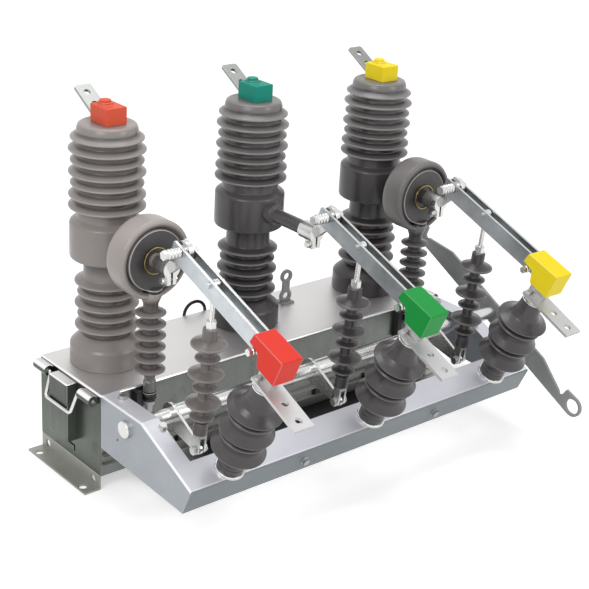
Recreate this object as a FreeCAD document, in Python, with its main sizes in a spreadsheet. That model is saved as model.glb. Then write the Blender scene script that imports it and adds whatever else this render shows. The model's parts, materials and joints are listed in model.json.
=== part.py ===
import FreeCAD, Part
import math
import os

import Sketcher

# Outdoor vacuum circuit breaker with a three-pole disconnector on its front.
# X runs along the three poles, -Y is the disconnector side, Z is up.
# The origin is midway between the four foot holes, on the ground.

doc = FreeCAD.newDocument("vacuum_breaker")
sheet = doc.addObject("Spreadsheet::Sheet", "Sizes")

SIZES = [
    ("phase_spacing", 340, "from one pole's axis to the next"),
    ("box_length", 876, "mechanism box along X"),
    ("box_front", 110, "box wall in front of the foot centre"),
    ("box_rear", 108, "box wall behind the foot centre"),
    ("box_floor", 33, "underside of the box above the ground"),
    ("box_top", 202, "top of the box above the ground"),
    ("box_sheet", 2.5, "stainless sheet of the box"),
    ("box_bend", 5, "outer radius of the box's folded edges"),
    ("floor_sheet", 3, "base plate of the box"),
    ("rail_height", 68, "middle of the rail on the box front"),
    ("rail_width", 21, "rail over both flanges"),
    ("rail_depth", 10, "how far the rail stands out"),
    ("rail_sheet", 3, "wall of the rail"),
    ("foot_length", 208, "foot along Y"),
    ("foot_sheet", 4, "plate of the feet"),
    ("foot_reach", 32, "foot flange beyond the box"),
    ("foot_inner", 30, "foot flange under the box"),
    ("foot_hole", 16, "diameter of the foot holes"),
    ("foot_hole_out", 21, "foot hole outside the box end"),
    ("foot_hole_pitch", 160, "foot holes along Y"),
    ("cover_depth", 22, "end cover, out from the box"),
    ("cover_front", 24, "end cover in front of the centre"),
    ("cover_rear", 40, "end cover behind the centre"),
    ("cover_foot", 73, "lower edge of the end cover"),
    ("cover_head", 196, "upper edge of the end cover"),
    ("cover_sheet", 2, "sheet of the end cover"),
    ("lug_radius", 10.5, "tube that holds a handle"),
    ("lug_mouth", 8, "radius of the wide mouth at each tube's outer end"),
    ("lug_height", 190, "axis of the handle tubes"),
    ("lug_inner", 57, "handle tube, near end"),
    ("lug_outer", 99, "handle tube, far end"),
    ("wire", 7, "diameter of the handle wire"),
    ("handle_drop", 47, "handle from its axis to its grip"),
    ("handle_half", 44, "half the width at the grip"),
    ("handle_bend", 8, "radius of the handle wire's bends"),
    ("running", 0.05, "radial clearance of a turning fit"),
    ("gap", 0.3, "clearance of faces that pass each other"),
    ("frame_sheet", 3, "folded sheet of the disconnector frame"),
    ("frame_top", 204, "flat top of the frame"),
    ("frame_flat", 128, "flat top from the box to the slope"),
    ("frame_slope", 23.5, "slope of the frame, in degrees"),
    ("frame_run", 169, "length of the slope"),
    ("frame_lip", 57, "front lip, square to the slope"),
    ("frame_foot", 95, "lower edge of the frame at the box"),
    ("frame_strip", 38, "side strip beside the window"),
    ("window_front", 61, "front strip before the window"),
    ("frame_bend", 5, "outer radius of the frame's folds"),
    ("frame_flange", 25, "flange on the box front"),
    ("shaft_front", 195, "disconnector shaft in front of the centre"),
    ("shaft_height", 173, "disconnector shaft above the ground"),
    ("shaft_size", 30, "diameter of the disconnector shaft"),
    ("shaft_wall", 4, "wall of the disconnector shaft"),
    ("bearing_size", 34, "outer diameter of the shaft bearings"),
    ("bearing_cap", 9, "bearing standing out of the side plate"),
    ("bearing_inside", 13, "bearing inside the side plate"),
    ("crank_throw", 92.4, "from the shaft to the pull rod's pin"),
    ("blade_slope", 20, "slope of closed blades and cranks, in degrees"),
    ("crank_sheet", 6, "crank plate"),
    ("crank_root", 24, "radius of the crank round the shaft"),
    ("crank_tip", 10, "radius of the crank round the pin"),
    ("sleeve_size", 35, "sleeve beside each crank"),
    ("sleeve_length", 40, "sleeve along the shaft"),
    ("pin_size", 10, "pins of the linkage"),
    ("blade_front", 226, "blade pivot in front of the centre"),
    ("blade_height", 508, "blade pivot above the ground"),
    ("blade_length", 300, "blade ahead of its pivot"),
    ("blade_tail", 22, "blade behind its pivot"),
    ("blade_width", 35, "height of a blade strip"),
    ("blade_above", 10, "upper edge of a strip above the blade's line"),
    ("blade_sheet", 5, "thickness of a blade strip"),
    ("blade_gap", 16, "space between the two strips"),
    ("rivet_size", 8, "rivet that carries the pull rod"),
    ("clamp_bolt_reach", 242, "front clamp bolt ahead of the pivot"),
    ("clamp_bolt_drop", 18.5, "front clamp bolt below the blade's line"),
    ("hood_width", 45, "coloured cover of the blade tip"),
    ("hood_length", 80, "cover of the blade tip along the blade"),
    ("hood_wall", 3, "wall of the covers"),
    ("arm_height", 460, "side arm of a pole above the ground"),
    ("arm_size", 28, "diameter of the side arm"),
    ("arm_reach", 160, "end of the side arm in front of the centre"),
    ("clamp_size", 36, "terminal clamp round the arm"),
    ("clamp_rear", 150, "back of the terminal clamp"),
    ("clamp_front", 188, "front of the terminal clamp"),
    ("lug_plate", 10, "lug that carries the blade"),
    ("lug_disc", 38, "round end of the lug"),
    ("pole_back", 22, "pole axis behind the centre"),
    ("pole_top", 677, "top face of a pole"),
    ("pole_core", 114, "upper pole between its sheds"),
    ("pole_barrel", 141, "barrel round the side arm"),
    ("pole_neck", 90, "lower pole between its sheds"),
    ("pole_foot", 142, "foot of a pole"),
    ("pole_spigot", 78, "spigot of a pole through the box top"),
    ("upper_bore", 84, "bore round the interrupter"),
    ("lower_bore", 70, "bore round the drive rod"),
    ("pole_head", 27, "highest shed below the pole's top"),
    ("shed_room", 22.2, "lowest upper shed above the barrel"),
    ("neck_room", 37, "highest lower shed below the barrel"),
    ("stud_size", 17, "terminal stud through the pole's top"),
    ("bottle_size", 72, "vacuum interrupter"),
    ("bottle_foot", 500, "lower end of the interrupter"),
    ("stem_size", 20, "moving stem of the interrupter"),
    ("rod_size", 30, "insulating drive rod"),
    ("terminal_width", 36, "top terminal bar"),
    ("terminal_sheet", 6, "thickness of the terminal bars"),
    ("terminal_flat", 30, "top terminal, flat part"),
    ("terminal_rise", 90, "top terminal, sloping part"),
    ("terminal_angle", 30, "slope of the top terminal, in degrees"),
    ("terminal_hole", 13, "holes of the terminals"),
    ("ring_size", 152, "current transformer"),
    ("ring_rear", 83, "back of the current transformer"),
    ("ring_front", 140, "face of the current transformer"),
    ("stalk_front", 124, "stalk of the current transformer"),
    ("stalk_foot", 226, "lower end of the stalk"),
    ("gland_size", 26, "cable gland under the stalk"),
    ("gland_foot", 150, "lower end of the gland"),
    ("contact_reach", 280, "fixed contact ahead of the blade's pivot"),
    ("contact_room", 2.5, "contact's upper edge below the blade's line"),
    ("post_seat", 52, "light ring under the post"),
    ("seat_height", 3, "height of the light ring"),
    ("front_bar_width", 42, "front terminal bar"),
    ("front_bar_reach", 110, "front terminal bar ahead of the post"),
    ("front_bar_back", 18, "front terminal bar behind the post"),
    ("contact_height", 61, "upright contact on the front terminal"),
    ("contact_length", 36, "upright contact along the blade"),
    ("lever_out", 94, "operating lever outside the frame"),
    ("lever_sheet", 6, "operating lever plate"),
    ("lever_slope", 27, "slope of the operating lever, in degrees"),
    ("lever_half", 283, "from the shaft to each ring of the lever"),
    ("lever_width", 49, "width of the operating lever"),
    ("lever_ring", 46, "ring at each end of the lever"),
    ("lever_eye", 34, "opening of each ring"),
    ("main_back", 62, "main shaft behind the centre"),
    ("main_height", 100, "main shaft above the ground"),
    ("main_size", 25, "diameter of the main shaft"),
    ("terminal_pitch", 40, "holes of the front terminal bar"),
    ("main_bracket", 400, "bracket of the main shaft from the middle"),
    ("bracket_sheet", 6, "plate of the main shaft's brackets"),
    ("drive_lever", 8.4, "levers of the main shaft, thickness"),
]

for row, (alias, value, note) in enumerate(SIZES, start=1):
    sheet.set(f"A{row}", note)
    sheet.set(f"B{row}", str(value))
    sheet.setAlias(f"B{row}", alias)
doc.recompute()


class Size:
    """A number worked out from the sheet, kept with the expression that gives it."""

    def __init__(self, value, text):
        self.value = float(value)
        self.text = text

    def __add__(self, other):
        other = as_size(other)
        return Size(self.value + other.value, f"({self.text} + {other.text})")

    def __sub__(self, other):
        other = as_size(other)
        return Size(self.value - other.value, f"({self.text} - {other.text})")

    def __mul__(self, other):
        other = as_size(other)
        return Size(self.value * other.value, f"({self.text} * {other.text})")

    def __truediv__(self, other):
        other = as_size(other)
        return Size(self.value / other.value, f"({self.text} / {other.text})")

    def __radd__(self, other):
        return as_size(other) + self

    def __rsub__(self, other):
        return as_size(other) - self

    def __rmul__(self, other):
        return as_size(other) * self

    def __neg__(self):
        return self * -1


def as_size(number):
    if isinstance(number, Size):
        return number
    return Size(number, f"({number})" if number < 0 else f"{number}")


def sine(angle):
    return Size(math.sin(math.radians(angle.value)), f"sin({angle.text})")


def cosine(angle):
    return Size(math.cos(math.radians(angle.value)), f"cos({angle.text})")


def root(number):
    return Size(math.sqrt(number.value), f"sqrt({number.text})")


def lean_of(across, up):
    """The angle from upright of a line that goes this far across and up."""
    turn = math.degrees(math.atan2(across.value, up.value))
    return Size(turn, f"(atan({across.text} / {up.text}) / 1 deg)")


class Sheet:
    """The sheet's cells by name, as sizes."""

    def __getattr__(self, alias):
        return Size(sheet.get(alias), f"Sizes.{alias}")


S = Sheet()

# Places that several pieces share. The front posts stand so that their contacts meet the blades

half_box = S.box_length / 2
front_wall = -S.box_front
pole_y = S.pole_back
shaft_y = -S.shaft_front
pivot_y = -S.blade_front
throw_y = S.crank_throw * cosine(S.blade_slope)
throw_z = S.crank_throw * sine(S.blade_slope)
crank_pin = (shaft_y - throw_y, S.shaft_height - throw_z)
link_y = pivot_y - shaft_y
link_z = S.blade_height - S.shaft_height
link_length = root(link_y * link_y + link_z * link_z)
link_lean = lean_of(-link_y, link_z)
slope_y = front_wall - S.frame_flat
slope_end = (slope_y - S.frame_run * cosine(S.frame_slope),
             S.frame_top - S.frame_run * sine(S.frame_slope))
strip_inner = half_box - S.frame_strip
handle_axis = half_box + S.lug_radius
handle_out = S.cover_depth + S.wire / 2 + S.gap - S.lug_radius
handle_lean = lean_of(handle_out, root(S.handle_drop * S.handle_drop - handle_out * handle_out))
PHASES = {"a": -S.phase_spacing, "b": as_size(0), "c": S.phase_spacing}
HALF_FACE = math.cos(math.radians(30))
sin_s, cos_s = sine(S.frame_slope), cosine(S.frame_slope)
contact_y = pivot_y - S.contact_reach * cosine(S.blade_slope) - slope_y
contact_z = S.blade_height - S.contact_reach * sine(S.blade_slope) - S.frame_top
post_ahead = -contact_y * cos_s - contact_z * sin_s
post_foot = (slope_y - post_ahead * cos_s, S.frame_top - post_ahead * sin_s)
post_height = (contact_z * cos_s - contact_y * sin_s - S.contact_room - S.contact_height
               - S.terminal_sheet)
post_cap = post_height - 8
rim_pitch = post_height / 4.34
top_rim = rim_pitch * 2.724

PLANES = {"x": ("YZ_Plane", 1), "y": ("XZ_Plane", -1), "z": ("XY_Plane", 1)}
pieces = []


class Circle:
    def __init__(self, across, up, radius):
        self.centre = (across, up)
        self.radius = as_size(radius)


def bind(thing, name, size):
    thing.setExpression(name, as_size(size).text)


def rectangle(left, right, low, high):
    return [(left, low), (right, low), (right, high), (left, high)]


def hexagon(across, up, flats):
    """Corners of a nut, flats being its width across flats."""
    radius = as_size(flats) / 2 / HALF_FACE
    turns = [as_size(60 * corner) for corner in range(6)]
    return [(across + radius * cosine(turn), up + radius * sine(turn)) for turn in turns]


def hold(index, point, place, rules):
    """Rules that keep one point of a sketch at its place, with the sizes that they follow."""
    for kind, axis, size in (("DistanceX", -2, place[0]), ("DistanceY", -1, place[1])):
        size = as_size(size)
        if size.value == 0:
            rules.append((Sketcher.Constraint("PointOnObject", index, point, axis), None))
        else:
            rules.append((Sketcher.Constraint(kind, -1, 1, index, point, size.value), size))


def draw(sketch, loops):
    """Closed outlines of straight runs, and circles, each held by the sheet's sizes."""
    shapes = []
    rules = []
    for loop in loops:
        first = len(shapes)
        if isinstance(loop, Circle):
            centre = FreeCAD.Vector(*[as_size(part).value for part in loop.centre], 0)
            shapes.append(Part.Circle(centre, FreeCAD.Vector(0, 0, 1), loop.radius.value))
            hold(first, 3, loop.centre, rules)
            rules.append((Sketcher.Constraint("Radius", first, loop.radius.value), loop.radius))
            continue
        corners = [FreeCAD.Vector(as_size(u).value, as_size(v).value, 0) for u, v in loop]
        count = len(corners)
        for corner in range(count):
            following = (corner + 1) % count
            shapes.append(Part.LineSegment(corners[corner], corners[following]))
            rules.append((Sketcher.Constraint("Coincident", first + corner, 2,
                                              first + following, 1), None))
            hold(first + corner, 1, loop[corner], rules)
    sketch.addGeometry(shapes, False)
    sketch.addConstraint([rule for rule, size in rules])
    for number, (rule, size) in enumerate(rules):
        if size is not None and "Sizes." in size.text:
            sketch.setExpression(f"Constraints[{number}]", size.text)


class Piece:
    """A sub-part: a body with its place, and features drawn across its own X, Y or Z."""

    def __init__(self, label, x=0, y=0, z=0, tilt=0):
        self.body = doc.addObject("PartDesign::Body", label)
        self.body.Label = label
        self.body.AllowCompound = True
        pieces.append(self.body)
        for axis, size in zip("xyz", (x, y, z)):
            bind(self.body, f"Placement.Base.{axis}", size)
        self.aim((1, 0, 0), tilt)

    def aim(self, axis, turn):
        """Turns the whole piece about an axis through its own origin."""
        if as_size(turn).value:
            base = self.body.Placement.Base
            rotation = FreeCAD.Rotation(FreeCAD.Vector(*axis), 10)
            self.body.Placement = FreeCAD.Placement(base, rotation)
            bind(self.body, "Placement.Rotation.Angle", turn)

    def sketch(self, across, loops, shift, tilt=0):
        """A sketch across an axis, its origin moved by shift and turned about X by tilt."""
        role, way = PLANES[across]
        plane = [part for part in self.body.Origin.OriginFeatures if part.Role == role][0]
        sketch = self.body.newObject("Sketcher::SketchObject", f"{self.body.Label}_outline")
        sketch.AttachmentSupport = [(plane, "")]
        sketch.MapMode = "FlatFace"
        if as_size(tilt).value:
            sketch.AttachmentOffset = FreeCAD.Placement(
                FreeCAD.Vector(0, 0, 0), FreeCAD.Rotation(FreeCAD.Vector(1, 0, 0), 10))
            bind(sketch, "AttachmentOffset.Rotation.Angle", tilt)
        for axis, size in zip("xyz", shift):
            if as_size(size).value:
                bind(sketch, f"AttachmentOffset.Base.{axis}", size)
        draw(sketch, loops)
        return sketch

    def feature(self, kind, name, sketch):
        feature = self.body.newObject(kind, f"{self.body.Label}_{name}")
        feature.Profile = sketch
        sketch.Visibility = False
        return feature

    def pad(self, across, loops, start, end):
        """Adds what the outlines sweep from start to end along the axis."""
        way = PLANES[across][1]
        low = start if way > 0 else -as_size(end)
        pad = self.feature("PartDesign::Pad", "pad", self.sketch(across, loops, (0, 0, low)))
        bind(pad, "Length", as_size(end) - start)

    def pocket(self, across, loops, start, end):
        """Cuts what the outlines sweep from start to end along the axis."""
        way = PLANES[across][1]
        high = end if way > 0 else -as_size(start)
        sketch = self.sketch(across, loops, (0, 0, high))
        pocket = self.feature("PartDesign::Pocket", "pocket", sketch)
        bind(pocket, "Length", as_size(end) - start)

    def tilted(self, kind, loops, origin, tilt, start, end):
        """A Pad or Pocket along a line that leans from Z by tilt, start and end from origin."""
        level = start if kind == "Pad" else end
        y = as_size(origin[0]) - as_size(level) * sine(tilt)
        z = as_size(origin[1]) + as_size(level) * cosine(tilt)
        sketch = self.sketch("z", loops, (0, y, z), tilt)
        feature = self.feature(f"PartDesign::{kind}", kind.lower(), sketch)
        bind(feature, "Length", as_size(end) - start)

    def turn(self, axis, profile, along=(0, 0), cut=False):
        """Turns a profile of (radius, place) points round a line along the axis."""
        first, second = along
        shift = {"z": (first, 0, -as_size(second)), "x": (0, second, -as_size(first)),
                 "y": (first, 0, second)}[axis]
        loop = [(place, radius) for radius, place in profile] if axis == "x" else profile
        sketch = self.sketch("z" if axis == "y" else "y", [loop], shift)
        kind = "Groove" if cut else "Revolution"
        round_piece = self.feature(f"PartDesign::{kind}", kind.lower(), sketch)
        round_piece.ReferenceAxis = (sketch, ["H_Axis" if axis == "x" else "V_Axis"])
        round_piece.Angle = 360

    def link(self, across, first, first_radius, second, second_radius, start, end):
        """A plate whose outline wraps two circles, as a crank or a lug has."""
        run = [as_size(second[0]) - first[0], as_size(second[1]) - first[1]]
        length = root(run[0] * run[0] + run[1] * run[1])
        ahead = [part / length for part in run]
        lean = (as_size(first_radius) - second_radius) / length
        side = root(1 - lean * lean)
        loop = []
        for centre, radius, sign in ((first, first_radius, 1), (second, second_radius, 1),
                                     (second, second_radius, -1), (first, first_radius, -1)):
            normal = (ahead[0] * lean - ahead[1] * side * sign,
                      ahead[1] * lean + ahead[0] * side * sign)
            loop.append((centre[0] + normal[0] * radius, centre[1] + normal[1] * radius))
        self.pad(across, [loop], start, end)
        self.pad(across, [Circle(*first, first_radius)], start, end)
        self.pad(across, [Circle(*second, second_radius)], start, end)

    def round_edges(self, radius, wanted, kind="Fillet"):
        """Rounds the edges of the finished shape for which wanted(edge) is true."""
        doc.recompute()
        tip = self.body.Tip
        names = [f"Edge{number}" for number, edge in enumerate(tip.Shape.Edges, start=1)
                 if wanted(edge)]
        fillet = self.body.newObject(f"PartDesign::{kind}", f"{self.body.Label}_edges")
        fillet.Base = (tip, names)
        bind(fillet, "Radius" if kind == "Fillet" else "Size", radius)

    def wire(self, points, bend, thickness, start_across):
        """A round wire along a bent route across X; its first run leaves across an axis."""
        route = self.body.newObject("Sketcher::SketchObject", f"{self.body.Label}_route")
        plane = [part for part in self.body.Origin.OriginFeatures if part.Role == "YZ_Plane"][0]
        route.AttachmentSupport = [(plane, "")]
        route.MapMode = "FlatFace"
        draw_route(route, points, bend)
        y, z = points[0]
        if start_across == "y":
            section = self.sketch("y", [Circle(0, 0, as_size(thickness) / 2)],
                                  (0, z, -as_size(y)))
        else:
            section = self.sketch("z", [Circle(0, 0, as_size(thickness) / 2)], (0, y, z))
        pipe = self.feature("PartDesign::AdditivePipe", "pipe", section)
        pipe.Spine = (route, [])
        route.Visibility = False


def along(axis, first=None, second=None, near=0.2):
    """A test for straight edges along an axis, at given places on the other two."""
    main = "xyz".index(axis)
    others = [index for index in range(3) if index != main]

    def wanted(edge):
        ends = [vertex.Point for vertex in edge.Vertexes]
        if len(ends) != 2 or edge.Curve.TypeId != "Part::GeomLine":
            return False
        for index, place in zip(others, (first, second)):
            if abs(ends[0][index] - ends[1][index]) > near:
                return False
            if place is not None and abs(ends[0][index] - as_size(place).value) > near:
                return False
        return True
    return wanted


def any_of(*tests):
    return lambda edge: any(test(edge) for test in tests)


def rounded_corner(before, corner, after, bend):
    """Where an arc that rounds a corner starts and ends, and a point on its middle."""
    arms = []
    for other in (before, after):
        reach = [as_size(other[0]) - corner[0], as_size(other[1]) - corner[1]]
        length = root(reach[0] * reach[0] + reach[1] * reach[1])
        arms.append([part / length for part in reach])
    fold = -(arms[0][0] * arms[1][0] + arms[0][1] * arms[1][1])
    back = bend * root((1 - fold) / (1 + fold))
    ends = [(corner[0] + arm[0] * back, corner[1] + arm[1] * back) for arm in arms]
    inward = [arms[0][axis].value + arms[1][axis].value for axis in (0, 1)]
    depth = (math.hypot(bend.value, back.value) - bend.value) / math.hypot(*inward)
    middle = [as_size(corner[axis]).value + inward[axis] * depth for axis in (0, 1)]
    return ends, FreeCAD.Vector(*middle, 0)


def draw_route(sketch, points, bend):
    """An open route of straight runs, with an arc of one radius at every corner."""
    bend = as_size(bend)
    rules = []

    def add_line(start, end):
        ends = [FreeCAD.Vector(as_size(u).value, as_size(v).value, 0) for u, v in (start, end)]
        index = sketch.addGeometry(Part.LineSegment(*ends), False)
        hold(index, 1, start, rules)
        hold(index, 2, end, rules)
        return index

    start = points[0]
    joins = []
    for before, corner, after in zip(points, points[1:], points[2:]):
        ends, middle = rounded_corner(before, corner, after, bend)
        line = add_line(start, ends[0])
        first, last = [FreeCAD.Vector(u.value, v.value, 0) for u, v in ends]
        arc = sketch.addGeometry(Part.Arc(first, middle, last), False)
        forward = sketch.getPoint(arc, 1).distanceToPoint(first) < 0.01
        joins.append((line, arc, (1, 2) if forward else (2, 1)))
        start = ends[1]
    add_line(start, points[-1])
    for line, arc, (entry, leaving) in joins:
        rules.append((Sketcher.Constraint("Coincident", line, 2, arc, entry), None))
        rules.append((Sketcher.Constraint("Coincident", arc + 1, 1, arc, leaving), None))
        rules.append((Sketcher.Constraint("Radius", arc, bend.value), bend))
    sketch.addConstraint([rule for rule, size in rules])
    for number, (rule, size) in enumerate(rules):
        if size is not None and "Sizes." in size.text:
            sketch.setExpression(f"Constraints[{number}]", size.text)


def shed(core, tip, level, rise, fall, edge=1.5):
    """Profile points of one weather shed, from its underside up to its top."""
    return [(core, level - fall), (tip, level - edge), (tip, level + edge), (core, level + rise)]


def bolt(piece, across, centre, start, shank, head, thickness, nut=None):
    """A hexagon head on a shank along an axis; start is the face that the head bears on."""
    reach = as_size(start) + shank[1]
    piece.pad(across, [Circle(*centre, as_size(shank[0]) / 2)], start, reach)
    piece.pad(across, [hexagon(*centre, head)], as_size(start) - thickness, start)
    if nut is not None:
        piece.pad(across, [hexagon(*centre, head)], nut, as_size(nut) + thickness)


def mechanism_housing():
    box = Piece("mechanism_housing")
    sheet_z = S.box_top - S.box_sheet
    box.pad("z", [rectangle(-half_box, half_box, front_wall, S.box_rear)],
            S.box_floor, S.box_top)
    box.round_edges(S.box_bend, any_of(
        along("z", -half_box), along("z", half_box),
        along("x", front_wall, S.box_top), along("x", S.box_rear, S.box_top),
        along("y", -half_box, S.box_top), along("y", half_box, S.box_top)))
    inner = half_box - S.box_sheet
    box.pocket("z", [rectangle(-inner, inner, front_wall + S.box_sheet,
                               S.box_rear - S.box_sheet)], S.box_floor - 1, sheet_z)
    holes = [Circle(x, pole_y, S.pole_spigot / 2 + S.gap) for x in PHASES.values()]
    box.pocket("z", holes, sheet_z - 1, S.box_top + 1)
    rail_front = front_wall - S.rail_depth
    lower = S.rail_height - S.rail_width / 2
    upper = S.rail_height + S.rail_width / 2
    channel = [(front_wall, lower), (front_wall, upper), (rail_front, upper),
               (rail_front, upper - S.rail_sheet), (front_wall - S.rail_sheet, upper - S.rail_sheet),
               (front_wall - S.rail_sheet, lower + S.rail_sheet),
               (rail_front, lower + S.rail_sheet), (rail_front, lower)]
    box.pad("x", [channel], -half_box, half_box)
    drain = S.cover_foot - 14
    hook = [(4, drain), (4, drain - 4), (-15, drain - 4), (-15, drain - 14), (-19, drain - 14),
            (-19, drain)]
    box.pocket("x", [hook], -half_box - 1, 1 - inner)


def housing_base_plate():
    plate = Piece("housing_base_plate")
    inner = half_box - S.box_sheet
    top = S.box_floor + S.floor_sheet
    plate.pad("z", [rectangle(-inner, inner, front_wall + S.box_sheet,
                              S.box_rear - S.box_sheet)], S.box_floor, top)
    for side in (-1, 1):
        middle = S.main_bracket * side
        ear = S.main_size / 2 + 14
        sides = (middle - S.bracket_sheet / 2, middle + S.bracket_sheet / 2)
        outline = rectangle(S.main_back - ear, S.main_back + ear, top, S.main_height)
        plate.pad("x", [outline], *sides)
        plate.pad("x", [Circle(S.main_back, S.main_height, ear)], *sides)
        plate.pocket("x", [Circle(S.main_back, S.main_height, S.main_size / 2 + S.running)],
                     sides[0] - 1, sides[1] + 1)


def mounting_foot(name, side):
    """A foot folded to a Z: under the box, down its end and out along the ground."""
    foot = Piece(name)
    under = half_box - S.foot_inner
    web = half_box - S.foot_sheet
    out = half_box + S.foot_reach
    outline = [(under, S.box_floor), (half_box, S.box_floor), (half_box, S.foot_sheet),
               (out, S.foot_sheet), (out, 0), (web, 0), (web, S.box_floor - S.foot_sheet),
               (under, S.box_floor - S.foot_sheet)]
    half = S.foot_length / 2
    foot.pad("y", [[(x * side, z) for x, z in outline]], -half, half)
    hole_x = (half_box + S.foot_hole_out) * side
    holes = [Circle(hole_x, S.foot_hole_pitch / 2 * way, S.foot_hole / 2) for way in (-1, 1)]
    foot.pocket("z", holes, -1, S.foot_sheet + 1)
    lifts = [Circle((S.foot_length / 2 - 22) * way, S.box_floor / 2, 8) for way in (-1, 1)]
    ends = (web - 1, half_box + 1) if side > 0 else (-half_box - 1, 1 - web)
    foot.pocket("x", lifts, *ends)
    foot.round_edges(S.foot_sheet - 1, any_of(
        along("y", half_box * side, S.box_floor), along("y", web * side, 0)))


def end_cover():
    cover = Piece("end_cover")
    face = -half_box - S.cover_depth
    t = S.cover_sheet
    cover.pad("z", [rectangle(face, -half_box, -S.cover_front, S.cover_rear)],
              S.cover_foot, S.cover_head)
    cover.round_edges(t + 2, any_of(
        along("z", face), along("x", None, S.cover_head), along("y", face)))
    cover.pocket("x", [rectangle(t - S.cover_front, S.cover_rear - t,
                                 S.cover_foot + t, S.cover_head - t)], face + t, 1 - half_box)


def handle_lugs():
    lugs = Piece("handle_lugs")
    for side in (-1, 1):
        axis = handle_axis * side
        wall = half_box * side
        near, far = (axis, wall) if side < 0 else (wall, axis)
        for way in (-1, 1):
            ends = (S.lug_inner, S.lug_outer) if way > 0 else (-S.lug_outer, -S.lug_inner)
            lugs.pad("y", [Circle(axis, S.lug_height, S.lug_radius)], *ends)
            lugs.pad("y", [rectangle(near, far, S.lug_height - S.lug_radius + 3,
                                     S.lug_height + S.lug_radius - 3)], *ends)
            lugs.pocket("y", [Circle(axis, S.lug_height, S.wire / 2 + S.running)],
                        ends[0] - 1, ends[1] + 1)
            mouth = (S.lug_outer - 5, S.lug_outer + 1)
            lugs.pocket("y", [Circle(axis, S.lug_height, S.lug_mouth)],
                        *(mouth if way > 0 else (-mouth[1], -mouth[0])))


def handle(name, side, lean):
    bail = Piece(name, handle_axis * side, 0, S.lug_height)
    bail.aim((0, 1, 0), lean)
    shoulder = S.lug_inner - S.handle_bend
    half_grip = S.handle_half
    bail.wire([(-S.lug_outer, 0), (-shoulder, 0), (-half_grip, -S.handle_drop),
               (half_grip, -S.handle_drop), (shoulder, 0), (S.lug_outer, 0)],
              S.handle_bend, S.wire, "y")


def disconnector_frame():
    frame = Piece("disconnector_frame")
    t = S.frame_sheet
    lip_y, lip_z = S.frame_lip * sin_s, S.frame_lip * cos_s
    lip_end = (slope_end[0] + lip_y, slope_end[1] - lip_z)
    frame.pad("x", [[(front_wall, S.frame_foot), (front_wall, S.frame_top),
                     (slope_y, S.frame_top), slope_end, lip_end]], -half_box, half_box)

    def on_outline(edge):
        ends = [vertex.Point for vertex in edge.Vertexes]
        side = all(abs(abs(end.x) - half_box.value) < 0.2 for end in ends)
        over = min(end.z for end in ends) > slope_end[1].value - 1
        flat = abs(ends[0].y - ends[1].y) > 1 if len(ends) == 2 else False
        return side and over and flat
    frame.round_edges(S.frame_bend, any_of(
        on_outline, along("x", slope_y, S.frame_top), along("x", *slope_end)))
    fold = (1 - cos_s) / sin_s
    inner = half_box - t
    under = S.frame_top - t
    inner_corner = (slope_end[0] + (sin_s + cos_s) * t, slope_end[1] + (sin_s - cos_s) * t)
    beyond = 40
    lip_low = (lip_end[0] + t * cos_s + beyond * sin_s, lip_end[1] + t * sin_s - beyond * cos_s)
    frame.pocket("x", [[(front_wall + 1, under), (slope_y + t * fold, under), inner_corner,
                        lip_low, (front_wall + 1, S.frame_foot - beyond)]], -inner, inner)
    window_y = slope_end[0] + S.window_front * cos_s
    frame.pocket("z", [rectangle(-strip_inner, strip_inner, window_y, front_wall + 1)],
                 slope_end[1], S.frame_top + 1)
    flange = S.frame_flange
    for side in (-1, 1):
        far, near = half_box * side, (half_box - flange) * side
        sides = (far, near) if side < 0 else (near, far)
        frame.pad("y", [rectangle(*sides, S.frame_foot, under)], front_wall - t, front_wall)
    bearing = [Circle(shaft_y, S.shaft_height, S.bearing_size / 2)]
    frame.pocket("x", bearing, -half_box - 1, 1 - inner)
    frame.pocket("x", bearing, inner - 1, half_box + 1)
    frame.pocket("x", [Circle(front_wall - 56, S.frame_foot + 41, 3.5)], -half_box - 1, 1 - inner)
    frame.tilted("Pocket", screw_holes("strip"), STRIP_FRAME, S.frame_slope, -5, 1)
    frame.tilted("Pocket", [Circle(x, 0, 6) for x in PHASES.values()],
                 post_foot, S.frame_slope, -5, 1)
    frame.pocket("z", screw_holes("flat"), under - 1, S.frame_top + 1)
    frame.tilted("Pocket", screw_holes("lip"), LIP_FRAME, S.frame_slope + 90, -5, 1)


SCREW_DOWN = 23
STRIP_FRAME = (slope_y - SCREW_DOWN * cos_s, S.frame_top - SCREW_DOWN * sin_s)
LIP_FRAME = (slope_end[0] + S.frame_lip / 2 * sin_s, slope_end[1] - S.frame_lip / 2 * cos_s)
screw_size = as_size(8)


def screw_places(where):
    """Where the frame's screws stand, across X, and along Y for those on its flat top."""
    if where == "strip":
        return [((half_box - S.frame_strip + 5) * side, 0) for side in (-1, 1)]
    if where == "lip":
        return [(S.phase_spacing / 2 * side, 0) for side in (-1, 1)]
    return [((half_box - 27) * side, front_wall - 31) for side in (-1, 1)]


def screw_holes(where):
    return [Circle(x, y, screw_size / 2) for x, y in screw_places(where)]


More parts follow.
